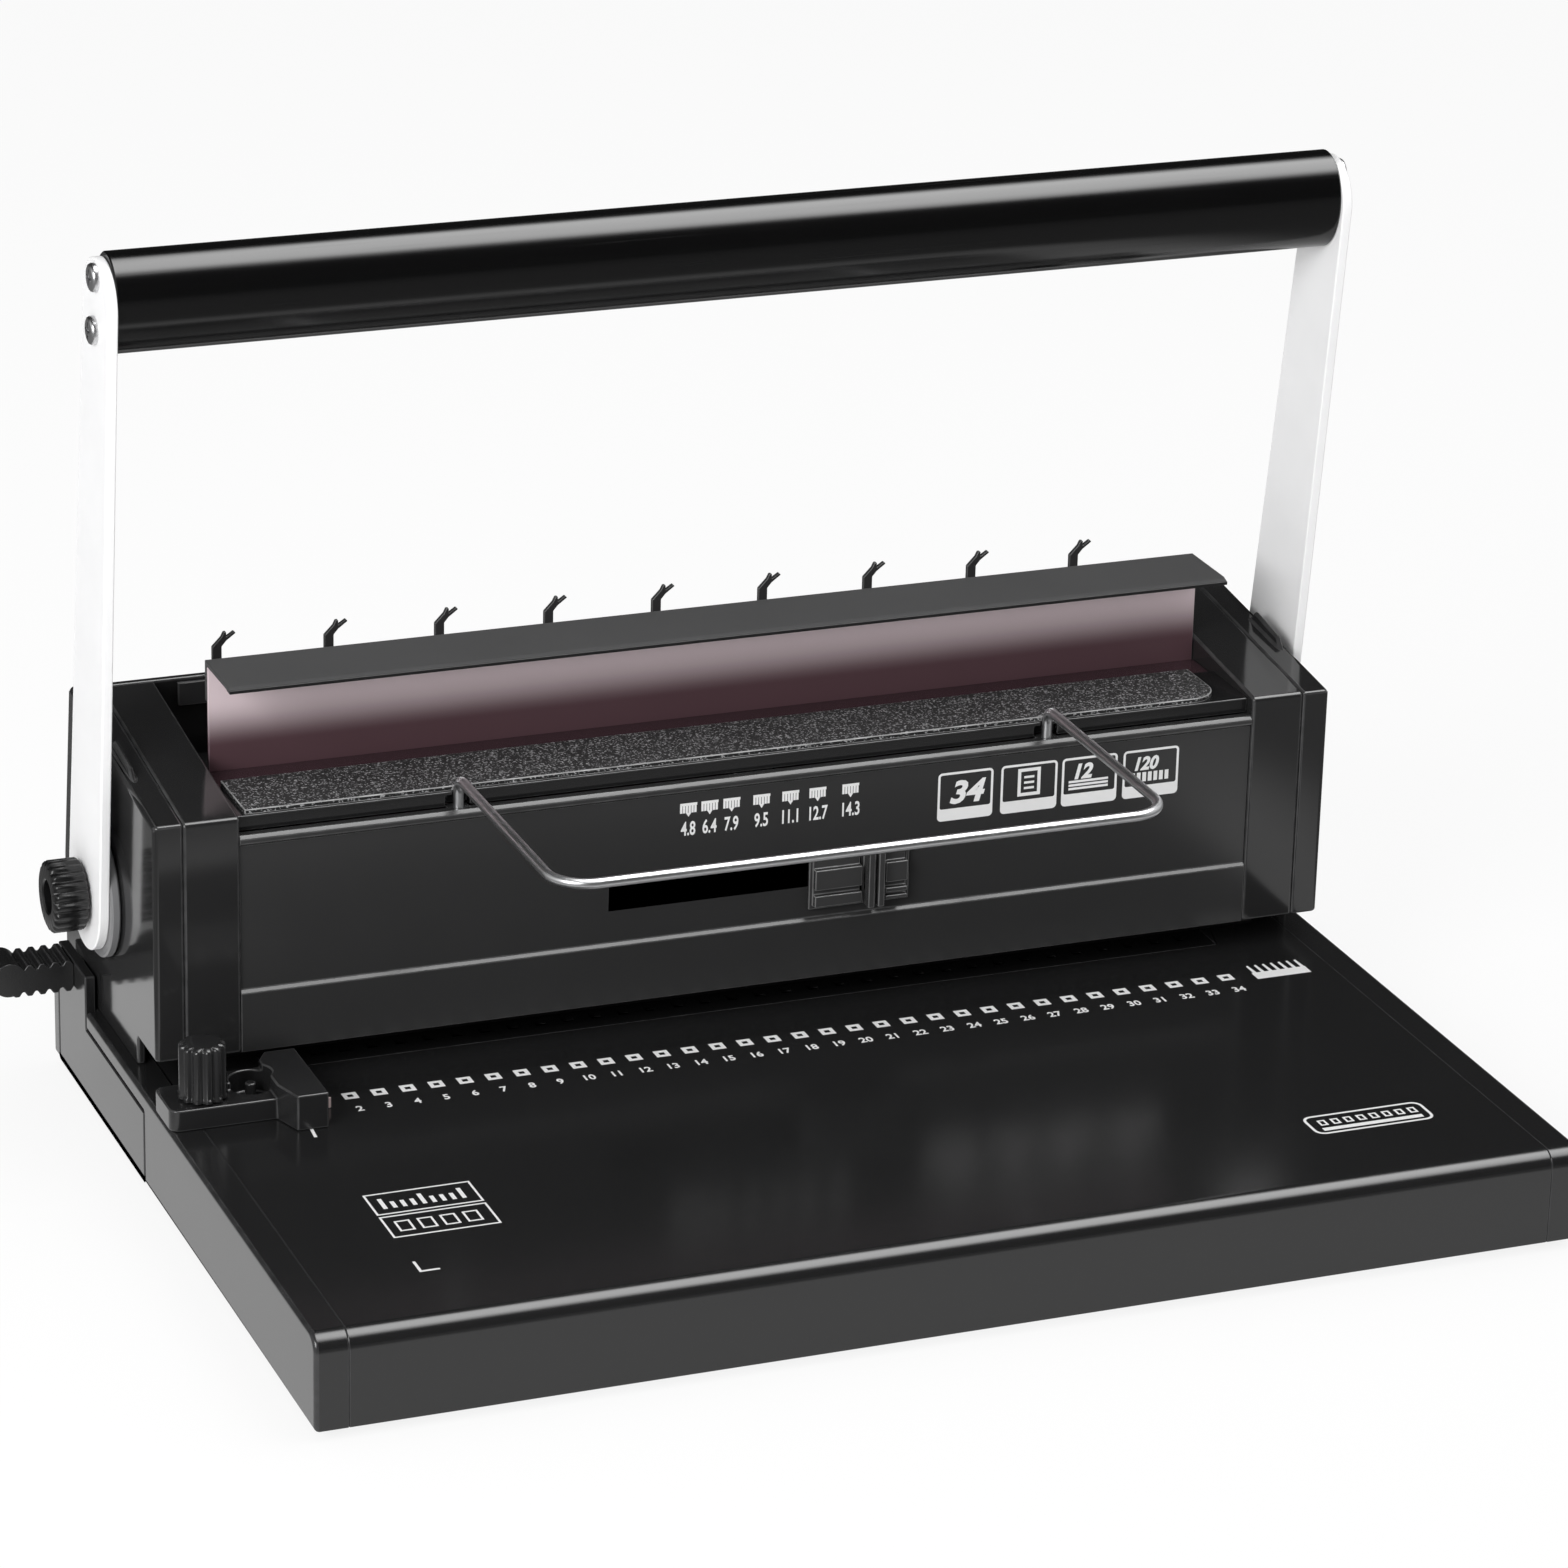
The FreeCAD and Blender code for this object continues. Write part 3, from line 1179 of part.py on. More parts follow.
# Waste tray that slides out to the left
def waste_tray():
    body = new_body("waste_tray")
    pad(body, "XY_Plane", "tray_floor", "tray_rim", [box(
        "tray_left", "tray_front", "tray_right", "tray_rear")])
    pocket(body, "XY_Plane", "tray_floor + tray_wall", "tray_rim", [box(
        "tray_left + tray_wall", "tray_front + tray_wall",
        "tray_right - tray_wall", "tray_rear - tray_wall")])
    body = new_body("tray_end_plate")
    pad(body, "YZ_Plane", "-base_half", "tray_left", [[
        ("tray_plate_near", "tray_floor"), ("tray_plate_far", "tray_floor"), ("tray_plate_far", "ear_top"),
        ("ear_near", "ear_top"), ("ear_near", "tray_plate_top"), ("tray_plate_near", "tray_plate_top")]])
    body = new_body("tray_pull")
    # ribs along both faces, then a round bead
    top = []
    bottom = []
    for index in range(SIZES["tab_ribs"]):
        for share, stands in RIB_STEPS:
            x = f"-(base_half + {index + share} * tab_length / tab_ribs)"
            top.append((x, f"tab_mid + tab_half + {stands} * tab_rib_rise"))
            bottom.append((x, f"tab_mid - tab_half - {stands} * tab_rib_rise"))
    end = [("-tab_end", "tab_mid + tab_half"), ("-tab_end", "tab_mid - tab_half")]
    pad(body, "XZ_Plane", "tab_near", "tab_far", [top + end + bottom[::-1]])
    pad(body, "XZ_Plane", "tab_near", "tab_far", [("-tab_end", "tab_mid + bead_lift", "bead_radius")])


# Straight runs joined by tangent quarter arcs at each inner point
def rounded_route(route, radii):
    edges = []
    start = route[0]
    for index, radius in enumerate(radii, start=1):
        point = route[index]
        back = (route[index - 1] - point).normalize()
        ahead = (route[index + 1] - point).normalize()
        enter = point + back * radius
        leave = point + ahead * radius
        centre = enter + ahead * radius
        middle = centre - (back + ahead).normalize() * radius
        edges.append(Part.LineSegment(start, enter).toShape())
        edges.append(Part.Arc(enter, middle, leave).toShape())
        start = leave
    edges.append(Part.LineSegment(start, route[-1]).toShape())
    return Part.Wire(edges)


# Bent wire bail plugged into the front rail
def paper_bail():
    foot_x = number("bail_foot_x")
    foot_y = number("bail_foot_y")
    foot_z = number("bail_foot_z")
    near = number("bail_near")
    top = number("bail_top")
    route = [
        FreeCAD.Vector(-foot_x, foot_y, foot_z),
        FreeCAD.Vector(-foot_x, foot_y, top),
        FreeCAD.Vector(-foot_x, near, top),
        FreeCAD.Vector(foot_x, near, top),
        FreeCAD.Vector(foot_x, foot_y, top),
        FreeCAD.Vector(foot_x, foot_y, foot_z)]
    bend = number("bail_bend")
    corner = number("bail_corner")
    # the wire's section is a many-sided outline of its own radius
    sides = SIZES["bail_sides"]
    reach = number("bail_radius")
    ring = [route[0] + FreeCAD.Vector(reach * math.cos(math.tau * side / sides),
                                      reach * math.sin(math.tau * side / sides), 0)
            for side in range(sides)]
    section = Part.makePolygon(ring + ring[:1])
    piece = doc.addObject("Part::Feature", "paper_bail")
    piece.Label = "paper_bail"
    piece.Shape = rounded_route(route, [bend, corner, corner, bend]).makePipeShell([section], True, False)
    piece.Placement = FreeCAD.Placement()
    pieces.append(piece)


base_deck()
end_caps()
base_bottom()
die_and_guides()
punch_parts()
punch_yokes()
side_frames()
drive_shaft()
cranks()
side_covers()
well_cheeks()
front_cover()
rear_cover()
well_parts()
closer_parts()
size_slider()
wire_hooks()
handle_parts()
handle_grip()
pivot_fittings()
edge_guide()
waste_tray()
paper_bail()
doc.recompute()

# Every object and every piece is checked before anything is written
for item in doc.Objects:
    if "Invalid" in item.State or "Error" in item.State:
        raise ValueError(f"{item.Label}: {item.State}")
for piece in pieces:
    if piece.Shape.isNull() or not piece.Shape.isValid() or not piece.Shape.Solids:
        raise ValueError(f"{piece.Label}: no valid solid")

os.makedirs("parts", exist_ok=True)
for piece in pieces:
    piece.Shape.exportStep(os.path.join("parts", f"{piece.Label}.step"))
print(len(pieces), "pieces written")
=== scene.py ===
import json
import math

import bmesh
import bpy
from mathutils import Matrix, Vector


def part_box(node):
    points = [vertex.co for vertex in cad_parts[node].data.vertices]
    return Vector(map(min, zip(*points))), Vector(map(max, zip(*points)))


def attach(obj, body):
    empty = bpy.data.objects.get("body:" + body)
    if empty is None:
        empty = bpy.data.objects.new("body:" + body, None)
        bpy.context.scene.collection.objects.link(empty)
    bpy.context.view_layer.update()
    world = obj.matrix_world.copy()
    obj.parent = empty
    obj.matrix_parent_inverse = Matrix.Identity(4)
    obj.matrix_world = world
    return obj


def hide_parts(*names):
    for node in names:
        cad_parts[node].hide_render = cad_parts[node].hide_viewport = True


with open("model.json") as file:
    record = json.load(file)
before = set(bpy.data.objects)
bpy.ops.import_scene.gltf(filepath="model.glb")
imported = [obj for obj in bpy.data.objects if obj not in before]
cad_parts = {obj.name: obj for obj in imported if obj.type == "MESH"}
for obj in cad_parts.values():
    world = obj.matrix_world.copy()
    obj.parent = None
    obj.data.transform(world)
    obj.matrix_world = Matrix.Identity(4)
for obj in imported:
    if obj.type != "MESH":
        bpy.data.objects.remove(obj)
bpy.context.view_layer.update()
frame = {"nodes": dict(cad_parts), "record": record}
print("frame loaded:", len(frame["nodes"]), "nodes")

mm = 0.001
slotOf = {part["node"]: part["material_slot"] for part in frame["record"]["subparts"]}
bodyOf = {node: body for body, members in frame["record"]["behaviour"]["bodies"].items() for node in members}


# Helpers for node trees
def addNode(tree, kind, place=(0, 0), inputs=None, **settings):
    node = tree.nodes.new(kind)
    node.location = place
    for name, value in settings.items():
        setattr(node, name, value)
    for name, value in (inputs or {}).items():
        node.inputs[name].default_value = value
    return node


def mathNode(tree, operation, place, inputs=None, **settings):
    return addNode(tree, "ShaderNodeMath", place, inputs, operation=operation, **settings)


def vectorNode(tree, operation, place, inputs=None):
    return addNode(tree, "ShaderNodeVectorMath", place, inputs, operation=operation)


# Each link is source node, its output, target node, its input
def connect(tree, *links):
    for source, output, target, entry in links:
        tree.links.new(source.outputs[output], target.inputs[entry])


def newTree(name, treeType, inputs, outputs):
    tree = bpy.data.node_groups.new(name, treeType)
    for direction, sockets in (("INPUT", inputs), ("OUTPUT", outputs)):
        for label, kind, *value in sockets:
            socket = tree.interface.new_socket(label, in_out=direction, socket_type="NodeSocket" + kind)
            if value:
                socket.default_value = value[0]
    return tree, addNode(tree, "NodeGroupInput", (-900, 0)), addNode(tree, "NodeGroupOutput", (900, 0))


def mapRange(tree, place, span, values=(0.0, 1.0), kind="SMOOTHSTEP"):
    return addNode(tree, "ShaderNodeMapRange", place, interpolation_type=kind, inputs={
        "From Min": span[0], "From Max": span[1], "To Min": values[0], "To Max": values[1]})


# Shared surface effects
# Fine moulded grain: a bump height and a slow mottle, both 0..1
def makeGrain():
    tree, start, end = newTree(
        "mouldedGrain", "ShaderNodeTree",
        [("Grains per metre", "Float", 3000.0), ("Mottle per metre", "Float", 40.0)],
        [("Height", "Float"), ("Mottle", "Float")])
    place = addNode(tree, "ShaderNodeTexCoord", (-800, -200))
    fine = addNode(tree, "ShaderNodeTexNoise", (-500, 100), {"Detail": 3.0, "Roughness": 0.6})
    cells = addNode(tree, "ShaderNodeTexVoronoi", (-500, -150), feature="SMOOTH_F1")
    slow = addNode(tree, "ShaderNodeTexNoise", (-500, -450), {"Detail": 4.0, "Roughness": 0.55})
    both = mathNode(tree, "MULTIPLY_ADD", (-200, 0), {1: 0.6})
    connect(tree, (start, "Grains per metre", fine, "Scale"), (start, "Grains per metre", cells, "Scale"),
            (start, "Mottle per metre", slow, "Scale"))
    for texture in (fine, cells, slow):
        connect(tree, (place, "Object", texture, "Vector"))
    connect(tree, (cells, "Distance", both, 0), (fine, "Fac", both, 2), (both, 0, end, "Height"),
            (slow, "Fac", end, "Mottle"))
    return tree


# Lighter edges: the faces marked when their edges were rounded, broken up by noise; the lighter edge colour
# is partly edge wear and partly a painted highlight
def makeEdgeRub():
    tree, start, end = newTree(
        "edgeWearAndHighlight", "ShaderNodeTree", [("Patches per metre", "Float", 180.0)],
        [("Mask", "Float")])
    edges = addNode(tree, "ShaderNodeAttribute", (-500, 200), attribute_name="wearAndHighlight")
    place = addNode(tree, "ShaderNodeTexCoord", (-800, -450))
    patches = addNode(tree, "ShaderNodeTexNoise", (-500, -400), {"Detail": 5.0})
    lift = mapRange(tree, (-200, -350), (0.3, 0.7), (0.35, 1.0), "LINEAR")
    mask = mathNode(tree, "MULTIPLY", (100, 0))
    connect(tree, (place, "Object", patches, "Vector"), (start, "Patches per metre", patches, "Scale"),
            (patches, "Fac", lift, "Value"), (edges, "Fac", mask, 0), (lift, "Result", mask, 1),
            (mask, 0, end, "Mask"))
    return tree


# Hairline marks along one axis, for brushed metal and handled plastic
def makeHairlines():
    tree, start, end = newTree(
        "hairlines", "ShaderNodeTree",
        [("Stretch", "Vector", (20.0, 1500.0, 1500.0))],
        [("Height", "Float"), ("Mask", "Float")])
    place = addNode(tree, "ShaderNodeTexCoord", (-900, -200))
    scaled = vectorNode(tree, "MULTIPLY", (-650, 0))
    lines = addNode(tree, "ShaderNodeTexNoise", (-400, 0), {"Scale": 1.0, "Detail": 3.0, "Roughness": 0.65})
    thin = mapRange(tree, (-100, -200), (0.58, 0.72), kind="LINEAR")
    connect(tree, (place, "Object", scaled, 0), (start, "Stretch", scaled, 1), (scaled, 0, lines, "Vector"),
            (lines, "Fac", thin, "Value"), (lines, "Fac", end, "Height"),
            (thin, "Result", end, "Mask"))
    return tree


grainGroup = makeGrain()
edgeWearAndHighlightGroup = makeEdgeRub()
hairlineGroup = makeHairlines()
print("surface effects built")


# Finishes
# colours are linear; the mottle adds the spread in roughness; bump depth is in thousandths of a mm; the
# rubbed colour on rounded edges is partly edge wear and partly a painted highlight
finishLooks = {
    "deck_black": dict(colour=(0.0125, 0.0125, 0.0128), wearAndHighlightColour=(0.035, 0.035, 0.036), rough=0.19, spread=0.02,
                       depth=3, ior=1.5),
    "end_grey": dict(colour=(0.0125, 0.0125, 0.0128), wearAndHighlightColour=(0.035, 0.035, 0.036), rough=0.2, spread=0.02,
                     depth=3, ior=1.5),
    "sheet_steel": dict(colour=(0.50, 0.51, 0.52), wearAndHighlightColour=(0.66, 0.66, 0.67), rough=0.34, spread=0.12,
                        metallic=1.0, stretch=(30.0, 1400.0, 1400.0), depth=15),
    "foot_rubber": dict(colour=(0.018, 0.018, 0.018), wearAndHighlightColour=(0.04, 0.04, 0.04), rough=0.78, spread=0.10,
                        grains=1500, depth=60),
    "zinc_screw": dict(colour=(0.66, 0.66, 0.67), wearAndHighlightColour=(0.8, 0.8, 0.8), rough=0.26, spread=0.12,
                       metallic=1.0, stretch=(600.0, 600.0, 600.0), depth=10),
    "tool_steel": dict(colour=(0.40, 0.41, 0.42), wearAndHighlightColour=(0.6, 0.6, 0.61), rough=0.28, spread=0.10,
                       metallic=1.0, stretch=(1600.0, 40.0, 1600.0), depth=10),
    "die_black": dict(colour=(0.006, 0.006, 0.0062), wearAndHighlightColour=(0.03, 0.03, 0.031), rough=0.42, spread=0.10,
                      stretch=(1600.0, 60.0, 1600.0), depth=6, ior=1.36),
    "bearing_white": dict(colour=(0.72, 0.71, 0.68), wearAndHighlightColour=(0.8, 0.8, 0.78), rough=0.45, spread=0.06,
                          grains=1800, depth=20),
    "bar_steel": dict(colour=(0.46, 0.46, 0.47), wearAndHighlightColour=(0.62, 0.62, 0.63), rough=0.24, spread=0.10,
                      metallic=1.0, stretch=(40.0, 1500.0, 1500.0), depth=10),
    "cover_black": dict(colour=(0.018, 0.018, 0.0183), wearAndHighlightColour=(0.05, 0.05, 0.051), rough=0.1,
                        spread=0.02, grains=2400, depth=0.6, ior=1.5),
    "frontSatin": dict(colour=(0.029, 0.029, 0.0293), wearAndHighlightColour=(0.085, 0.085, 0.086), rough=0.24, spread=0.03,
                       grains=2400, depth=4, ior=1.5),
    "hook_black": dict(colour=(0.035, 0.035, 0.036), wearAndHighlightColour=(0.12, 0.12, 0.12), rough=0.4, spread=0.1,
                       depth=20),
    "arm_silver": dict(colour=(0.92, 0.92, 0.925), wearAndHighlightColour=(0.93, 0.93, 0.93), rough=0.34, spread=0.06,
                       grains=3400, depth=10),
    "grip_black": dict(colour=(0.003, 0.003, 0.0031), wearAndHighlightColour=(0.02, 0.02, 0.02), rough=0.16, spread=0.02,
                       stretch=(8.0, 900.0, 900.0), depth=1, ior=1.5),
    "hub_grey": dict(colour=(0.19, 0.19, 0.195), wearAndHighlightColour=(0.3, 0.3, 0.305), rough=0.4, spread=0.08,
                     grains=2400, depth=20),
    "knob_black": dict(colour=(0.005, 0.005, 0.0052), wearAndHighlightColour=(0.04, 0.04, 0.041), rough=0.3, spread=0.04,
                       depth=2, ior=1.5),
    "slider_black": dict(colour=(0.042, 0.042, 0.0425), wearAndHighlightColour=(0.17, 0.17, 0.171), rough=0.26, spread=0.03,
                         depth=4, ior=1.5),
    "guide_black": dict(colour=(0.016, 0.016, 0.0165), wearAndHighlightColour=(0.05, 0.05, 0.051), rough=0.22, spread=0.04,
                        depth=8, ior=1.5),
    "pointer_pink": dict(colour=(0.58, 0.45, 0.44), wearAndHighlightColour=(0.7, 0.6, 0.6), rough=0.4, spread=0.08, depth=20),
    "tray_black": dict(colour=(0.0105, 0.0105, 0.0108), wearAndHighlightColour=(0.04, 0.04, 0.041), rough=0.24, spread=0.03,
                       grains=2200, depth=6, ior=1.5),
    "bail_chrome": dict(colour=(0.74, 0.745, 0.755), wearAndHighlightColour=(0.85, 0.85, 0.86), rough=0.33, spread=0.06,
                        metallic=1.0, stretch=(500.0, 500.0, 500.0), depth=0.8),
    "printWhite": dict(colour=(0.84, 0.84, 0.84), wearAndHighlightColour=(0.84, 0.84, 0.84), rough=0.5, spread=0.1,
                       grains=4000, depth=10),
}
finishes = {}


# Starts a material or a world with an empty tree
def emptied(holder):
    holder.use_nodes = True
    holder.node_tree.nodes.clear()
    return holder.node_tree


# A mix of two colours, A and B, each red, green and blue
def colourMix(tree, place, **ends):
    return addNode(tree, "ShaderNodeMix", place, {name: (*end, 1.0) for name, end in ends.items()},
                   data_type="RGBA")


def startFinish(name, look):
    material = bpy.data.materials.new(name)
    tree = emptied(material)
    end = addNode(tree, "ShaderNodeOutputMaterial", (700, 0))
    shader = addNode(tree, "ShaderNodeBsdfPrincipled", (400, 0), {
        "Metallic": look.get("metallic", 0.0), "IOR": look.get("ior", 1.47)})
    connect(tree, (shader, 0, end, "Surface"))
    material.diffuse_color = (*look["colour"], 1.0)
    finishes[name] = material
    return tree, shader


# what the finishes share: grains where none are given, the mottle, and the roughness that hairlines add
sharedLook = dict(grains=2600, perMetre=35.0, darker=0.94, paler=1.05, span=(0.25, 0.75), hairlineRough=0.12)


# Base colour, roughness and bump that every finish shares; returns the colour mix so that more can follow
def layFinish(tree, shader, look):
    grain = addNode(tree, "ShaderNodeGroup", (-700, -100), node_tree=grainGroup,
                    inputs={"Grains per metre": float(look.get("grains", sharedLook["grains"])),
                            "Mottle per metre": sharedLook["perMetre"]})
    wearAndHighlightMask = addNode(tree, "ShaderNodeGroup", (-700, 300), node_tree=edgeWearAndHighlightGroup)
    tone = colourMix(tree, (-350, 150), A=[share * sharedLook["darker"] for share in look["colour"]],
                     B=[min(1.0, share * sharedLook["paler"]) for share in look["colour"]])
    # the rounded edges take the rubbed colour, which is partly edge wear and partly a painted highlight
    wearAndHighlight = colourMix(tree, (-100, 200), B=look["wearAndHighlightColour"])
    halfSpread = look["spread"] / 2
    rough = mapRange(tree, (-350, -200), sharedLook["span"],
                     (look["rough"] - halfSpread, look["rough"] + halfSpread), "LINEAR")
    bump = addNode(tree, "ShaderNodeBump", (100, -400), {
        "Strength": 1.0, "Distance": look["depth"] * 0.001 * mm})
    connect(tree, (grain, "Mottle", tone, "Factor"), (tone, "Result", wearAndHighlight, "A"),
            (wearAndHighlightMask, "Mask", wearAndHighlight, "Factor"), (wearAndHighlight, "Result", shader, "Base Color"),
            (grain, "Mottle", rough, "Value"), (rough, "Result", shader, "Roughness"))
    if "stretch" in look:
        lines = addNode(tree, "ShaderNodeGroup", (-700, -450), node_tree=hairlineGroup,
                        inputs={"Stretch": look["stretch"]})
        deeper = mathNode(tree, "MULTIPLY_ADD", (-100, -200), {1: sharedLook["hairlineRough"]})
        connect(tree, (lines, "Mask", deeper, 0), (rough, "Result", deeper, 2),
                (deeper, 0, shader, "Roughness"), (lines, "Height", bump, "Height"))
    else:
        connect(tree, (grain, "Height", bump, "Height"))
    connect(tree, (bump, "Normal", shader, "Normal"))
    return wearAndHighlight


for finishName, finishLook in finishLooks.items():
    finishTree, finishShader = startFinish(finishName, finishLook)
    layFinish(finishTree, finishShader, finishLook)

# Speckled non-slip strip: black ground with light and dark flecks
stripLook = dict(colour=(0.012, 0.012, 0.0123), wearAndHighlightColour=(0.45, 0.45, 0.45), rough=0.6, spread=0.1, ior=1.32,
                 depth=40, fleck=(0.34, 0.34, 0.345), flecksPerMetre=2300.0, fleckShare=(0.76, 0.96))


# Lays a second colour over the ground where the mask node says
def overGround(tree, shader, ground, mask, colour):
    mix = colourMix(tree, (150, 500), B=colour)
    connect(tree, (mask, "Result", mix, "Factor"), (ground, "Result", mix, "A"),
            (mix, "Result", shader, "Base Color"))


def speckledStrip():
    tree, shader = startFinish("strip_speckled", stripLook)
    ground = layFinish(tree, shader, stripLook)
    place = addNode(tree, "ShaderNodeTexCoord", (-900, 700))
    flecks = addNode(tree, "ShaderNodeTexVoronoi", (-650, 700), {"Scale": stripLook["flecksPerMetre"]})
    pick = addNode(tree, "ShaderNodeSeparateColor", (-450, 700))
    bright = mapRange(tree, (-250, 700), stripLook["fleckShare"], kind="LINEAR")
    connect(tree, (place, "Object", flecks, "Vector"), (flecks, "Color", pick, 0),
            (pick, 0, bright, "Value"))
    overGround(tree, shader, ground, bright, stripLook["fleck"])


# Finishes with a second colour beyond a place on one axis, in metres
bandedLooks = {
    # the closer plate is tinted mauve-brown, with a painted reflection that makes it pale at its top edge and
    # deep brown below
    "plate_tinted": dict(colour=(0.095, 0.052, 0.061), wearAndHighlightColour=(0.2, 0.15, 0.17), rough=0.24, spread=0.04,
                         grains=3000, depth=3, band=(0.70, 0.58, 0.61), axis="Z",
                         bandSpan=(0.1145, 0.1288)),
    # the ledge is black in front and carries the plate's tint behind the strip
    "ledgeTinted": dict(colour=(0.010, 0.010, 0.0103), wearAndHighlightColour=(0.05, 0.05, 0.051), rough=0.16, spread=0.03,
                        grains=2400, depth=3, band=(0.052, 0.029, 0.035), axis="Y",
                        bandSpan=(0.0608, 0.0616)),
    # the flap is grey on top, and black along its front lip as a painted shade of its front face
    "flapShadedLip": dict(colour=(0.082, 0.082, 0.083), wearAndHighlightColour=(0.05, 0.05, 0.051), rough=0.34, spread=0.03,
                       grains=3200, depth=6, ior=1.5, band=(0.006, 0.006, 0.0062), axis="Y",
                       bandSpan=(0.0541, 0.0538)),
}


def bandedFinish(name, look):
    tree, shader = startFinish(name, look)
    ground = layFinish(tree, shader, look)
    place = addNode(tree, "ShaderNodeTexCoord", (-900, 700))
    parts = addNode(tree, "ShaderNodeSeparateXYZ", (-650, 700))
    reach = mapRange(tree, (-400, 700), look["bandSpan"])
    connect(tree, (place, "Object", parts, 0), (parts, look["axis"], reach, "Value"))
    overGround(tree, shader, ground, reach, look["band"])


speckledStrip()
for finishName, finishLook in bandedLooks.items():
    bandedFinish(finishName, finishLook)
print("finishes made:", len(finishes))


# Helpers for meshes
def ownMesh(net, name):
    mesh = bpy.data.meshes.new(name)
    net.to_mesh(mesh)
    net.free()
    return mesh


# distances in mm, angle in degrees
mergeLook = dict(within=0.003, flatWithin=0.5, onRule=0.06, ringsWithin=0.001)


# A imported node's triangles, merged and with flat areas joined again
def mergedCopy(node):
    source = frame["nodes"][node].data
    net = bmesh.new()
    corners = [net.verts.new(vertex.co) for vertex in source.vertices]
    for face in source.polygons:
        net.faces.new([corners[index] for index in face.vertices])
    bmesh.ops.remove_doubles(net, verts=net.verts, dist=mergeLook["within"] * mm)
    bmesh.ops.dissolve_limit(net, angle_limit=math.radians(mergeLook["flatWithin"]), verts=net.verts,
                             edges=net.edges)
    return net


def newObject(name, data):
    made = bpy.data.objects.new(name, data)
    bpy.context.scene.collection.objects.link(made)
    return made


# The plain mesh of an evaluated object, which is then removed
def bakedMesh(holder):
    evaluated = holder.evaluated_get(bpy.context.evaluated_depsgraph_get())
    result = bpy.data.meshes.new_from_object(evaluated)
    bpy.data.objects.remove(holder)
    return result


# Runs the given modifiers over a mesh and hands back the plain result
def runModifiers(mesh, *steps):
    holder = newObject("holder", mesh)
    for kind, settings in steps:
        modifier = holder.modifiers.new(kind.lower(), kind)
        for name, value in settings.items():
            setattr(modifier, name, value)
    return bakedMesh(holder)


# Cuts a net of boxes out of a mesh
def carved(mesh, boxes):
    cutter = newObject("cutter", ownMesh(boxes, "cutter"))
    result = runModifiers(mesh, ("BOOLEAN", dict(object=cutter, operation="DIFFERENCE", solver="EXACT",
                                                 use_self=True)))
    bpy.data.objects.remove(cutter)
    return result


# Adds a box to a net, its size and middle in mm
def addBox(net, size, middle=(0.0, 0.0, 0.0)):
    box = bmesh.ops.create_cube(net, size=1.0)
    bmesh.ops.scale(net, vec=Vector(size) * mm, verts=box["verts"])
    bmesh.ops.translate(net, vec=Vector(middle) * mm, verts=box["verts"])


# Both ends of the edge lie where the rule says, such as dict(x=184.2)
def edgeLies(edge, rule):
    return all(abs(end.co["xyz".index(axis)] / mm - at) < mergeLook["onRule"]
               for end in edge.verts for axis, at in rule.items())


# A node's lowest and highest corner in mm
def boxOf(node):
    return [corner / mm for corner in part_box(node)]


# Rounds the sharp edges and marks the new faces for the lighter edge colour, partly wear and partly a painted
# highlight; edges under an outer rule take the larger radius
def roundedEdges(mesh, width, segments=3, angle=32.0, outerWidth=0.0, outerRules=(), shortest=0.0):
    mesh.polygons.foreach_set("use_smooth", [True] * len(mesh.polygons))
    widest = max(width, outerWidth)
    net = bmesh.new()
    net.from_mesh(mesh)
    weights = net.edges.layers.float.new("bevel_weight_edge")
    for edge in net.edges:
        sharp = len(edge.link_faces) == 2 and edge.calc_face_angle(0.0) > math.radians(angle)
        if sharp and edge.calc_length() >= shortest * mm:
            outer = any(edgeLies(edge, rule) for rule in outerRules)
            edge[weights] = (outerWidth if outer else width) / widest
    net.to_mesh(mesh)
    net.free()
    mesh.materials.append(None)
    mesh.materials.append(None)
    rounded = runModifiers(
        mesh,
        ("BEVEL", dict(width=widest * mm, segments=segments, limit_method="WEIGHT", material=1,
                       use_clamp_overlap=False, miter_outer="MITER_ARC")),
        ("WEIGHTED_NORMAL", dict(mode="FACE_AREA", weight=50, keep_sharp=True)))
    wearAndHighlight = rounded.attributes.new("wearAndHighlight", "FLOAT", "FACE")
    wearAndHighlight.data.foreach_set("value", [float(face.material_index) for face in rounded.polygons])
    return rounded


def smoothed(mesh, angle=35.0):
    mesh.polygons.foreach_set("use_smooth", [True] * len(mesh.polygons))
    mesh.set_sharp_from_angle(angle=math.radians(angle))
    return mesh


def placePiece(mesh, name, body, slot, finish=None, nodes=()):
    mesh.name = name
    mesh.materials.clear()
    mesh.materials.append(finishes[finish or slot])
    mesh.polygons.foreach_set("material_index", [0] * len(mesh.polygons))
    piece = newObject(name, mesh)
    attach(piece, body)
    if nodes:
        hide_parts(*nodes)


# Moves a mesh by a distance in mm
def shift(mesh, place):
    mesh.transform(Matrix.Translation(Vector(place) * mm))


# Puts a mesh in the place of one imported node
def standIn(mesh, node, name):
    placePiece(mesh, name, bodyOf[node], slotOf[node], ownFinish.get(node), nodes=(node,))


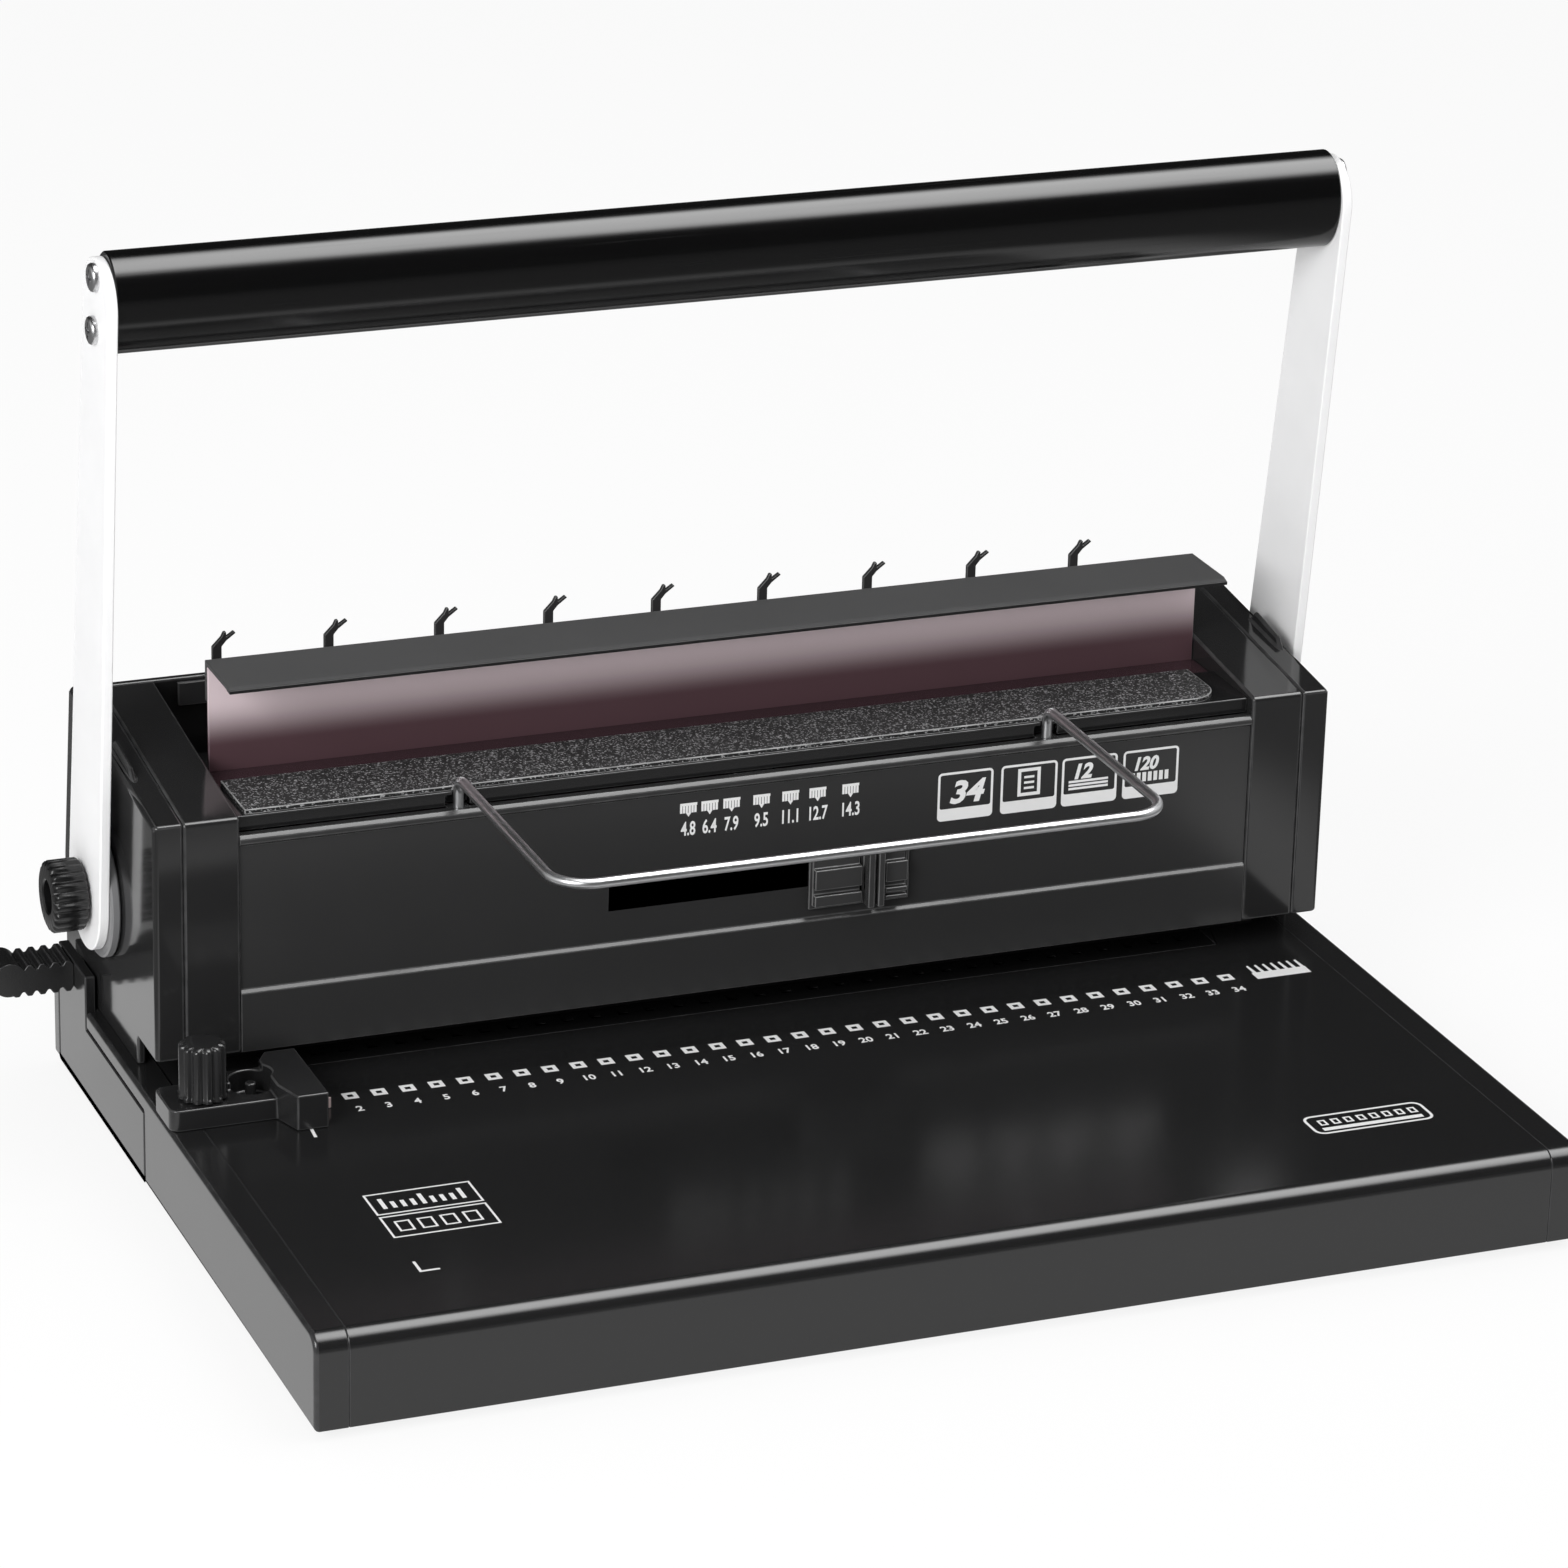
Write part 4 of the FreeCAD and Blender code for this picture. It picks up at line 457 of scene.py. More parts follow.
# Repeating trees
# Copies of the input mesh at even steps
def makeRowTree():
    tree, start, end = newTree(
        "evenRow", "GeometryNodeTree",
        [("Geometry", "Geometry"), ("Count", "Int", 2),
         ("Step", "Vector", (0.01, 0.0, 0.0)), ("Finish", "Material")],
        [("Geometry", "Geometry")])
    line = addNode(tree, "GeometryNodeMeshLine", (-350, 100), mode="OFFSET")
    copies = addNode(tree, "GeometryNodeInstanceOnPoints", (-100, 0))
    solid = addNode(tree, "GeometryNodeRealizeInstances", (150, 0))
    finish = addNode(tree, "GeometryNodeSetMaterial", (350, 0))
    connect(tree, (start, "Count", line, "Count"), (start, "Step", line, "Offset"),
            (line, "Mesh", copies, "Points"), (start, "Geometry", copies, "Instance"),
            (copies, "Instances", solid, "Geometry"), (solid, "Geometry", finish, "Geometry"),
            (start, "Finish", finish, "Material"), (finish, "Geometry", end, "Geometry"))
    return tree


# A round wire along an open line of edges, its corners rounded to one radius
def makeWireTree():
    tree, start, end = newTree(
        "roundWire", "GeometryNodeTree",
        [("Geometry", "Geometry"), ("Wire radius", "Float", 0.0015),
         ("Corner radius", "Float", 0.01), ("Sides", "Int", 24),
         ("Finish", "Material")],
        [("Geometry", "Geometry")])
    curve = addNode(tree, "GeometryNodeMeshToCurve", (-550, 0))
    corners = addNode(tree, "GeometryNodeFilletCurve", (-300, 0), {"Count": 14}, mode="POLY")
    ring = addNode(tree, "GeometryNodeCurvePrimitiveCircle", (-300, -250))
    sweep = addNode(tree, "GeometryNodeCurveToMesh", (0, 0), {"Fill Caps": True})
    smooth = addNode(tree, "GeometryNodeSetShadeSmooth", (200, 0))
    solid = addNode(tree, "GeometryNodeRealizeInstances", (400, 0))
    finish = addNode(tree, "GeometryNodeSetMaterial", (600, 0))
    connect(tree, (start, "Geometry", curve, "Mesh"), (curve, "Curve", corners, "Curve"),
            (start, "Corner radius", corners, "Radius"), (start, "Sides", ring, "Resolution"),
            (start, "Wire radius", ring, "Radius"), (corners, "Curve", sweep, "Curve"),
            (ring, "Curve", sweep, "Profile Curve"), (sweep, "Mesh", smooth, "Geometry"),
            (smooth, "Geometry", solid, "Geometry"), (solid, "Geometry", finish, "Geometry"),
            (start, "Finish", finish, "Material"), (finish, "Geometry", end, "Geometry"))
    return tree


rowTree = makeRowTree()
wireTree = makeWireTree()


def grown(mesh, tree, values):
    holder = newObject("holder", mesh)
    modifier = holder.modifiers.new(tree.name, "NODES")
    modifier.node_group = tree
    for item in tree.interface.items_tree:
        if item.item_type == "SOCKET" and item.in_out == "INPUT" and item.name in values:
            modifier[item.identifier] = values[item.name]
    return bakedMesh(holder)


def inRow(mesh, count, step, finish):
    return grown(mesh, rowTree, {"Count": count, "Step": step, "Finish": finishes[finish]})


# Joins rings of points into a closed skin
def skinned(net, rings, name, capped=True):
    sides = len(rings[0])
    for low, high in zip(rings, rings[1:]):
        for index in range(sides):
            follow = (index + 1) % sides
            net.faces.new((low[index], low[follow], high[follow], high[index]))
    if capped:
        net.faces.new(rings[0][::-1])
        net.faces.new(rings[-1])
    else:
        bmesh.ops.remove_doubles(net, verts=net.verts, dist=mergeLook["ringsWithin"] * mm)
    bmesh.ops.recalc_face_normals(net, faces=net.faces)
    return ownMesh(net, name)


# over 1 makes the hollows between a knob's ribs narrower than the ribs
lobePower = 1.6


# Points (radius, along) turned round an axis; lobes shape the radius by angle
def turned(name, profile, centre, axis="X", sides=64, lobes=0, lobeDepth=0.0, lobeFrom=0.0):
    net = bmesh.new()
    rings = []
    for radius, along in profile:
        ring = []
        for index in range(sides):
            angle = 2 * math.pi * index / sides
            reach = radius
            if lobes and radius > lobeFrom:
                wave = 0.5 - 0.5 * math.cos(angle * lobes)
                reach -= lobeDepth * wave ** lobePower
            across, up = reach * math.cos(angle), reach * math.sin(angle)
            spot = {"X": (along, across, up), "Z": (across, up, along)}[axis]
            ring.append(net.verts.new((Vector(spot) + Vector(centre)) * mm))
        rings.append(ring)
    return skinned(net, rings, name, capped=profile[0] != profile[-1])


# Camera at the photograph's angle
cameraLook = dict(place=(-0.60045, -1.47784, 0.73390), azimuth=21.9045, elevation=21.262, roll=-1.47775,
                  lens=139.92, sensor=36.0, clip=(0.05, 60.0))


def makeCamera():
    turn, rise, roll = (math.radians(cameraLook[key]) for key in ("azimuth", "elevation", "roll"))
    ahead = Vector((math.sin(turn) * math.cos(rise), math.cos(turn) * math.cos(rise), -math.sin(rise)))
    right = Vector((math.cos(turn), -math.sin(turn), 0.0))
    down = ahead.cross(right)
    rolledRight = right * math.cos(roll) + down * math.sin(roll)
    rolledDown = down * math.cos(roll) - right * math.sin(roll)
    data = bpy.data.cameras.new("photoCamera")
    data.sensor_width = cameraLook["sensor"]
    data.lens = cameraLook["lens"]
    data.clip_start, data.clip_end = cameraLook["clip"]
    camera = newObject("photoCamera", data)
    turnMatrix = Matrix((rolledRight, -rolledDown, -ahead)).transposed()
    camera.matrix_world = Matrix.Translation(cameraLook["place"]) @ turnMatrix.to_4x4()
    bpy.context.scene.camera = camera


makeCamera()


# Floor, world and lamps
stageLook = dict(floorHalf=9.0, floorColour=(0.95, 0.95, 0.95), shadeKept=0.16, worldLevel=0.58,
                 mirrorLevel=0.02, sideSpan=(0.55, 0.95), sideGlow=0.6,
                 sweepSpan=(0.05, 0.115), sweepEdge=0.05, footprint=(0.184, 0.129, 1.0),
                 panelAim=(0.35, -0.11, 0.93), panelSpan=(0.83, 0.98), panelGlow=7.0)
lampLooks = {
    "leftSoftbox": dict(place=(-1.5, -1.1, 1.0), aim=(0.0, 0.0, 0.08), size=(1.0, 0.9), watts=28.0),
    "overheadSoftbox": dict(place=(0.55, -0.18, 1.6), aim=(0.0, 0.0, 0.08), size=(1.2, 0.9), watts=6.0),
}


# One where a camera, mirror or glass ray looks, nought where the object is only lit
def seenRays(tree):
    rays = addNode(tree, "ShaderNodeLightPath", (-900, 300))
    some = mathNode(tree, "ADD", (-650, 300))
    every = mathNode(tree, "ADD", (-450, 300), use_clamp=True)
    connect(tree, (rays, "Is Camera Ray", some, 0), (rays, "Is Glossy Ray", some, 1), (some, 0, every, 0),
            (rays, "Is Transmission Ray", every, 1))
    return every


# Pale to the camera everywhere; a mirror sees the white sweep near the object and a greyer one further off
def floorFinish():
    look = stageLook
    material = bpy.data.materials.new("paleFloor")
    tree = emptied(material)
    end = addNode(tree, "ShaderNodeOutputMaterial", (900, 0))
    matt = addNode(tree, "ShaderNodeBsdfDiffuse", (300, 0), {"Color": (*look["floorColour"], 1.0)})
    glow = addNode(tree, "ShaderNodeEmission", (300, -200))
    share = mathNode(tree, "MULTIPLY", (-200, 200), {1: 1.0 - look["shadeKept"]})
    mix = addNode(tree, "ShaderNodeMixShader", (600, 0))
    place = addNode(tree, "ShaderNodeNewGeometry", (-900, -300))
    aside = vectorNode(tree, "ABSOLUTE", (-850, -300))
    beyond = vectorNode(tree, "SUBTRACT", (-780, -300), {1: look["footprint"]})
    outside = vectorNode(tree, "MAXIMUM", (-710, -300))
    reach = vectorNode(tree, "LENGTH", (-650, -300))
    fade = mapRange(tree, (-400, -300), look["sweepSpan"], (0.0, 1.0 - look["sweepEdge"]))
    rays = addNode(tree, "ShaderNodeLightPath", (-650, -550))
    fadeSeen = mathNode(tree, "MULTIPLY", (-150, -350))
    strength = mathNode(tree, "SUBTRACT", (50, -350), {0: 1.0})
    connect(tree, (seenRays(tree), 0, share, 0), (place, "Position", aside, 0), (aside, 0, beyond, 0),
            (beyond, 0, outside, 0), (outside, 0, reach, 0), (reach, "Value", fade, "Value"),
            (fade, "Result", fadeSeen, 0), (rays, "Is Glossy Ray", fadeSeen, 1),
            (fadeSeen, 0, strength, 1), (strength, 0, glow, "Strength"), (share, 0, mix, 0),
            (matt, 0, mix, 1), (glow, 0, mix, 2), (mix, 0, end, "Surface"))
    return material


# White to the camera, a dark room with side cards and an overhead panel in mirrors, even light on the object
def studioWorld():
    look = stageLook
    world = bpy.data.worlds.new("studioWorld")
    tree = emptied(world)
    end = addNode(tree, "ShaderNodeOutputWorld", (900, 0))
    glow = addNode(tree, "ShaderNodeBackground", (700, 0), {"Color": (1.0, 1.0, 1.0, 1.0)})
    aim = addNode(tree, "ShaderNodeTexCoord", (-900, -200))
    parts = addNode(tree, "ShaderNodeSeparateXYZ", (-650, -200))
    aside = mathNode(tree, "ABSOLUTE", (-500, -200))
    sides = mapRange(tree, (-350, -200), look["sideSpan"], (look["mirrorLevel"], look["sideGlow"]))
    nearPanel = vectorNode(tree, "DOT_PRODUCT", (-650, -500), {1: look["panelAim"]})
    panel = mapRange(tree, (-350, -500), look["panelSpan"], (0.0, look["panelGlow"]))
    both = mathNode(tree, "ADD", (-100, -300))
    rays = addNode(tree, "ShaderNodeLightPath", (-100, 300))
    mirrored = addNode(tree, "ShaderNodeMix", (200, 0), inputs={"A": look["worldLevel"]})
    shown = addNode(tree, "ShaderNodeMix", (450, 0), inputs={"B": 1.0})
    connect(tree, (aim, "Generated", parts, 0), (parts, "X", aside, 0), (aside, 0, sides, "Value"),
            (aim, "Generated", nearPanel, 0), (nearPanel, "Value", panel, "Value"),
            (sides, "Result", both, 0), (panel, "Result", both, 1),
            (rays, "Is Glossy Ray", mirrored, "Factor"), (both, 0, mirrored, "B"),
            (rays, "Is Camera Ray", shown, "Factor"), (mirrored, "Result", shown, "A"),
            (shown, "Result", glow, "Strength"), (glow, 0, end, "Surface"))
    return world


def makeStage():
    half = stageLook["floorHalf"]
    net = bmesh.new()
    net.faces.new([net.verts.new((x * half, y * half, 0.0)) for x, y in ((-1, -1), (1, -1), (1, 1), (-1, 1))])
    floor = newObject("studioFloor", ownMesh(net, "studioFloor"))
    floor.data.materials.append(floorFinish())
    bpy.context.scene.world = studioWorld()
    for name, look in lampLooks.items():
        data = bpy.data.lights.new(name, "AREA")
        data.shape = "RECTANGLE"
        data.size, data.size_y = look["size"]
        data.energy = look["watts"]
        lamp = newObject(name, data)
        lamp.location = look["place"]
        aim = Vector(look["aim"]) - Vector(look["place"])
        lamp.rotation_euler = aim.to_track_quat("-Z", "Y").to_euler()


makeStage()
bpy.context.scene.view_settings.view_transform = "Standard"
print("camera, floor and lamps placed")


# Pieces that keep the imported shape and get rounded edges
# node: edge radius in mm
edgeRounds = {
    "base_deck": 0.35, "base_end_cap_left": 0.3, "base_end_cap_right": 0.3, "base_bottom_plate": 0.2,
    "die_plate": 0.15, "paper_stop": 0.2, "punch_guide": 0.2, "side_frame_left": 0.25,
    "side_frame_right": 0.25, "shaft_bearing_left": 0.3, "shaft_bearing_right": 0.3, "front_cover": 0.25,
    "well_cheek_left": 0.85, "well_cheek_right": 0.85, "side_cover_left": 0.85, "side_cover_right": 0.85,
    "rear_cover": 0.8, "well_floor": 0.3, "closer_ledge": 0.4, "grip_strip": 0.3, "hook_rail": 0.3,
    "wire_hooks": 0.2, "crank_left": 0.25, "crank_right": 0.25, "handle_arm_left": 0.5,
    "handle_arm_right": 0.5, "punch_bar": 0.3, "pin_clamp_plate": 0.3, "punch_yoke_left": 0.25,
    "punch_yoke_right": 0.25, "closer_flap": 0.2, "closer_back_plate": 0.25, "closer_leg_left": 0.25,
    "closer_leg_right": 0.25, "closer_stop_finger": 0.3, "size_stop_bar": 0.25, "edge_guide": 0.5,
    "guide_pointer": 0.15, "guide_nut": 0.2, "waste_tray": 0.3, "tray_end_plate": 0.5, "tray_pull": 0.3,
    "shaft_nut": 0.3,
}
# node: larger radius in mm, and where the edges that take it lie
outerRounds = {
    "base_deck": (2.2, [dict(y=-129.0, z=30.2)]),
    "base_end_cap_left": (1.3, [dict(x=-184.2), dict(y=-129.0, z=30.2)]),
    "base_end_cap_right": (1.3, [dict(x=184.2), dict(y=-129.0, z=30.2)]),
}
# the small square holes keep their sharp edges, so that the pins pass: node: shortest rounded edge in mm
holeEdges = {"die_plate": 5.0, "punch_guide": 5.0}
# the cover's upper rim shows this much lower, so that the black front of the ledge stands over it
rimLook = dict(over=100.0, fall=3.0)


def loweredRim(net):
    for vert in net.verts:
        if vert.co.z > rimLook["over"] * mm:
            vert.co.z -= rimLook["fall"] * mm
    return net


# pieces whose finish differs from their slot's own
ownFinish = {"front_cover": "frontSatin", "closer_ledge": "ledgeTinted", "closer_flap": "flapShadedLip",
             "tray_end_plate": "end_grey"}
for node, width in edgeRounds.items():
    net = mergedCopy(node)
    if node == "front_cover":
        net = loweredRim(net)
    outerWidth, outerRules = outerRounds.get(node, (0.0, ()))
    rounded = roundedEdges(ownMesh(net, node + "_edged"), width, outerWidth=outerWidth, outerRules=outerRules,
                           shortest=holeEdges.get(node, 0.0))
    standIn(rounded, node, node + "_edged")
print("edges rounded on", len(edgeRounds), "pieces")


# Size slider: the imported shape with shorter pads, finger grooves across them and a split ridge
# heights and spans run from the slider's lower left corner, in mm
sliderLook = dict(plateBehind=4.2, ridge=(17.0, 22.0), padTop=12.6, gripGroove=(4.6, 6.4),
                  barGroove=(2.2, 3.2), grooveFloor=0.2, ridgeGap=1.2, gapDepth=2.6, edge=0.28, over=1.0)


def makeSlider():
    look = sliderLook
    low, high = boxOf("size_slider")
    over = look["over"]
    face = low.y + look["plateBehind"]
    ridgeLeft, ridgeRight = (low.x + offset for offset in look["ridge"])
    ridgeMiddle, halfGap = (ridgeLeft + ridgeRight) / 2, look["ridgeGap"] / 2
    leftPad, rightPad = (low.x - over, ridgeLeft), (ridgeRight, high.x + over)
    # each cut is its span in x, how far back it goes, and its span in z above the lower edge
    above = high.z - low.z + over
    cuts = [(rightPad, face - look["grooveFloor"], look["barGroove"]),
            ((ridgeMiddle - halfGap, ridgeMiddle + halfGap), low.y + look["gapDepth"], (-over, above))]
    for span in (leftPad, rightPad):
        cuts.append((span, face, (look["padTop"], above)))
        cuts.append((span, face - look["grooveFloor"], look["gripGroove"]))
    net = bmesh.new()
    for (left, right), back, (under, top) in cuts:
        near = low.y - over
        addBox(net, (right - left, back - near, top - under),
               ((left + right) / 2, (near + back) / 2, low.z + (under + top) / 2))
    slider = roundedEdges(carved(ownMesh(mergedCopy("size_slider"), "slider"), net), look["edge"])
    standIn(slider, "size_slider", "size_slider_grooved")


makeSlider()

# Feet and bolts under the base
footLook = dict(across=160.2, along=113.0, radius=10.0, height=3.0)


def fourCorners(mesh, look, node, name):
    x, y = look["across"], look["along"]
    shift(mesh, (-x, -y, 0.0))
    pair = inRow(mesh, 2, (2 * x * mm, 0.0, 0.0), slotOf[node])
    standIn(smoothed(inRow(pair, 2, (0.0, 2 * y * mm, 0.0), slotOf[node])), node, name)


def makeFeet():
    r, h = footLook["radius"], footLook["height"]
    profile = [(2.2, 1.2), (2.6, 0.9), (6.4, 0.9), (6.8, 0.5), (7.2, 0.1), (7.8, 0.0), (r - 0.6, 0.0),
               (r - 0.15, 0.2), (r, 0.6), (r, h - 0.3), (r - 0.3, h)]
    pad = turned("footPad", profile, (0, 0, 0), axis="Z", sides=48)
    fourCorners(pad, footLook, "rubber_feet", "rubber_feet_turned")


# a cross is its reach, half width and depth
boltLook = dict(across=138.2, along=113.0, radius=3.2, low=1.6, high=3.0, cross=(1.9, 0.4, 0.7))


# A round head with a cross cut into it, along Z, its top at z = 0
def crossHead(name, radius, height, cross):
    crossReach, crossHalf, crossDepth = cross
    profile = [(radius, -height), (radius, -height * 0.45), (radius * 0.93, -height * 0.18),
               (radius * 0.8, -height * 0.04), (radius * 0.62, 0.0)]
    head = turned(name, profile, (0, 0, 0), axis="Z", sides=40)
    cut = bmesh.new()
    for wide, deep in ((crossReach, crossHalf), (crossHalf, crossReach)):
        addBox(cut, (2 * wide, 2 * deep, 2 * crossDepth))
    return carved(head, cut)


def makeBolts():
    head = crossHead("boltHead", boltLook["radius"], boltLook["high"] - boltLook["low"], boltLook["cross"])
    head.transform(Matrix.Rotation(math.pi, 4, "X"))
    shift(head, (0, 0, boltLook["low"]))
    fourCorners(head, boltLook, "bottom_bolts", "bottom_bolts_cut")


makeFeet()
makeBolts()
print("feet and bolts made")

# Punch pins
pinLook = dict(count=34, half=2.0, edge=0.2, hollow=0.6)


def makePins():
    low, high = boxOf("punch_pins")
    width = 2 * pinLook["half"]
    net = bmesh.new()
    middle = (low + high) / 2
    addBox(net, (width, width, high.z - low.z), (low.x + width / 2, middle.y, middle.z))
    # a shallow V across the cutting end
    under = [face for face in net.faces if face.normal.z < -0.9]
    lengthwise = [edge for edge in under[0].edges if abs(edge.verts[0].co.y - edge.verts[1].co.y) < 1e-6]
    cut = bmesh.ops.subdivide_edges(net, edges=lengthwise, cuts=1)
    for item in cut["geom_inner"]:
        if isinstance(item, bmesh.types.BMVert):
            item.co.z += pinLook["hollow"] * mm
    pin = roundedEdges(ownMesh(net, "pin"), pinLook["edge"], segments=1)
    step = (high.x - low.x - width) * mm / (pinLook["count"] - 1)
    standIn(inRow(pin, pinLook["count"], (step, 0.0, 0.0), "tool_steel"), "punch_pins", "punch_pins_ground")


makePins()

# Shaft, tie rod and washers; the shaft nut is rounded with the pieces above
# y and z of the shaft's axis
shaftAt = (84.5, 71.0)
shaftLook = dict(bore=5.6, edge=0.25, chamfer=0.5)


# The outline of a bar with both ends chamfered
def chamfered(radius, start, stop):
    cut = shaftLook["chamfer"]
    return [(radius - cut, start), (radius, start + cut), (radius, stop - cut), (radius - cut, stop)]


def makeRoundBars():
    # the squared ends and threads stay as packed, with finer rounding between
    bar = roundedEdges(ownMesh(mergedCopy("drive_shaft"), "bar"), shaftLook["edge"], segments=2, angle=40.0)
    standIn(bar, "drive_shaft", "drive_shaft_turned")
    low, high = boxOf("frame_tie_rod")
    middle = (low + high) / 2
    rod = turned("rod", chamfered((high.z - low.z) / 2, low.x, high.x), (0, middle.y, middle.z), sides=40)
    standIn(smoothed(rod), "frame_tie_rod", "tie_rod_turned")
    for side in ("left", "right"):
        node = "hub_washer_" + side
        low, high = boxOf(node)
        bore = shaftLook["bore"]
        outside = chamfered((high.z - low.z) / 2, low.x, high.x)
        profile = [(bore, low.x), *outside, (bore, high.x), (bore, low.x)]
        washer = turned("washer", profile, (0, *shaftAt), sides=96)
        standIn(smoothed(washer), node, node + "_turned")


makeRoundBars()

# Handle grip, screws and pivot knob
gripLook = dict(long=14.5, short=11.5, lean=7.4, length=183.0, half=183.2, edge=0.4, sides=72, bands=12)


# The arms' direction from the shaft, and the direction square to it
def armAxes():
    lean = math.radians(gripLook["lean"])
    return Vector((0, -math.sin(lean), math.cos(lean))), Vector((0, -math.cos(lean), -math.sin(lean)))


def makeGrip():
    along, across = armAxes()
    middle = Vector((0, *shaftAt)) + along * gripLook["length"]
    half, edge, sides, bands = (gripLook[key] for key in ("half", "edge", "sides", "bands"))
    net = bmesh.new()
    rings = []
    stations = [(-half, edge), (-half + edge, 0.0)]
    stations += [(-half + edge + (2 * half - 2 * edge) * step / bands, 0.0) for step in range(1, bands)]
    stations += [(half - edge, 0.0), (half, edge)]
    for x, less in stations:
        ring = []
        for index in range(sides):
            angle = 2 * math.pi * index / sides
            spot = middle + along * (gripLook["long"] - less) * math.cos(angle)
            spot += across * (gripLook["short"] - less) * math.sin(angle)
            ring.append(net.verts.new((spot + Vector((x, 0, 0))) * mm))
        rings.append(ring)
    standIn(smoothed(skinned(net, rings, "grip")), "handle_grip", "handle_grip_moulded")


gripScrewLook = dict(spots=(175.2, 190.8), face=186.2, radius=4.0, height=2.0, cross=(2.4, 0.5, 1.1))


def makeGripScrews():
    along = armAxes()[0]
    head = crossHead("gripScrew", gripScrewLook["radius"], gripScrewLook["height"], gripScrewLook["cross"])
    net = bmesh.new()
    for side in (-1, 1):
        for spot in gripScrewLook["spots"]:
            copy = head.copy()
            shift(copy, (0, 0, gripScrewLook["height"]))
            copy.transform(Matrix.Rotation(side * math.pi / 2, 4, "Y"))
            shift(copy, Vector((side * gripScrewLook["face"], *shaftAt)) + along * spot)
            net.from_mesh(copy)
    standIn(smoothed(ownMesh(net, "gripScrews")), "grip_screws", "grip_screws_cut")


knobLook = dict(radius=10.5, near=-187.0, far=-197.0, recess=4.9, recessDepth=4.0, bore=3.55, flutes=20,
                depth=0.8)


def makePivotKnob():
    r, near, far, recess, bore = (knobLook[key] for key in ("radius", "near", "far", "recess", "bore"))
    face = far + knobLook["recessDepth"]
    profile = [(bore, near), (r - 1.4, near), (r - 0.5, near - 0.35), (r, near - 1.0), (r, far + 1.0),
               (r - 0.5, far + 0.35), (r - 1.4, far), (recess + 0.4, far), (recess, far + 0.4),
               (recess, face), (bore, face), (bore, near)]
    knob = turned("knob", profile, (0, *shaftAt), sides=240, lobes=knobLook["flutes"],
                  lobeDepth=knobLook["depth"], lobeFrom=r - 1.2)
    standIn(smoothed(knob, 40.0), "pivot_knob", "pivot_knob_fluted")


makeGrip()
makeGripScrews()
makePivotKnob()
print("handle made")

# Edge guide's knob and screw
guideKnobLook = dict(x=-172.8, y=11.5, radius=7.1, low=36.9, high=53.4, flutes=12, depth=0.9)


def makeGuideKnob():
    r, low, high = guideKnobLook["radius"], guideKnobLook["low"], guideKnobLook["high"]
    profile = [(r - 0.5, low), (r, low + 0.4), (r, low + 1.2), (r - 0.35, low + 1.6), (r - 0.35, high - 1.4),
               (r - 0.6, high - 0.7), (r - 1.3, high - 0.2), (r - 2.2, high)]
    knob = turned("guideKnob", profile, (guideKnobLook["x"], guideKnobLook["y"], 0), axis="Z", sides=240,
                  lobes=guideKnobLook["flutes"], lobeDepth=guideKnobLook["depth"], lobeFrom=r - 1.4)
    standIn(smoothed(knob, 40.0), "edge_guide_knob", "edge_guide_knob_fluted")
    low, high = boxOf("guide_screw")
    radius = (high.x - low.x) / 2
    middle = (low + high) / 2
    screw = turned("guideScrew", [(radius - 0.4, low.z), (radius, low.z + 0.4), (radius, high.z)],
                   (middle.x, middle.y, 0), axis="Z", sides=32)
    standIn(smoothed(screw), "guide_screw", "guide_screw_turned")


makeGuideKnob()

# Paper bail
bailLook = dict(footY=35.9, radius=1.5, cornerRadius=11.0, bendRadius=4.0, bendSteps=8, sides=24)


def makeBail():
    low, high = boxOf("paper_bail")
    radius, bend, steps, footY = (bailLook[key] for key in ("radius", "bendRadius", "bendSteps", "footY"))
    top, near, half = high.z - radius, low.y + radius, (high.x - low.x) / 2 - radius
    # the two small bends at the feet are drawn as short arcs, the near corners by the tree
    side = [(-half, footY, low.z)]
    for step in range(steps + 1):
        angle = math.pi / 2 * step / steps
        side.append((-half, footY - bend * (1 - math.cos(angle)), top - bend * (1 - math.sin(angle))))
    route = side + [(-half, near, top), (half, near, top)]
    route += [(-x, y, z) for x, y, z in side[::-1]]
    net = bmesh.new()
    spots = [net.verts.new(Vector(spot) * mm) for spot in route]
    for first, second in zip(spots, spots[1:]):
        net.edges.new((first, second))
    wire = grown(ownMesh(net, "bailLine"), wireTree, {
        "Wire radius": radius * mm, "Corner radius": bailLook["cornerRadius"] * mm,
        "Sides": bailLook["sides"], "Finish": finishes["bail_chrome"]})
    standIn(wire, "paper_bail", "paper_bail_bent")


makeBail()
print("guide and bail made")

# Printed marks
printThick = 0.04


# A flat outline raised to a thin print, in the plane's own x and y
def inkNet(net, outline, inner=None):
    outer = [net.verts.new((x * mm, y * mm, 0.0)) for x, y in outline]
    if inner is None:
        return [net.faces.new(outer)]
    inside = [net.verts.new((x * mm, y * mm, 0.0)) for x, y in inner]
    faces = []
    for index in range(len(outer)):
        follow = (index + 1) % len(outer)
        faces.append(net.faces.new((outer[index], outer[follow], inside[follow], inside[index])))
    return faces


def block(x0, y0, x1, y1):
    return [(x0, y0), (x1, y0), (x1, y1), (x0, y1)]


def roundBlock(x0, y0, x1, y1, radius, steps=5):
    points = []
    for cx, cy, start in ((x1 - radius, y0 + radius, -90), (x1 - radius, y1 - radius, 0),
                          (x0 + radius, y1 - radius, 90), (x0 + radius, y0 + radius, 180)):
        for step in range(steps + 1):
            angle = math.radians(start + 90 * step / steps)
            points.append((cx + radius * math.cos(angle), cy + radius * math.sin(angle)))
    return points


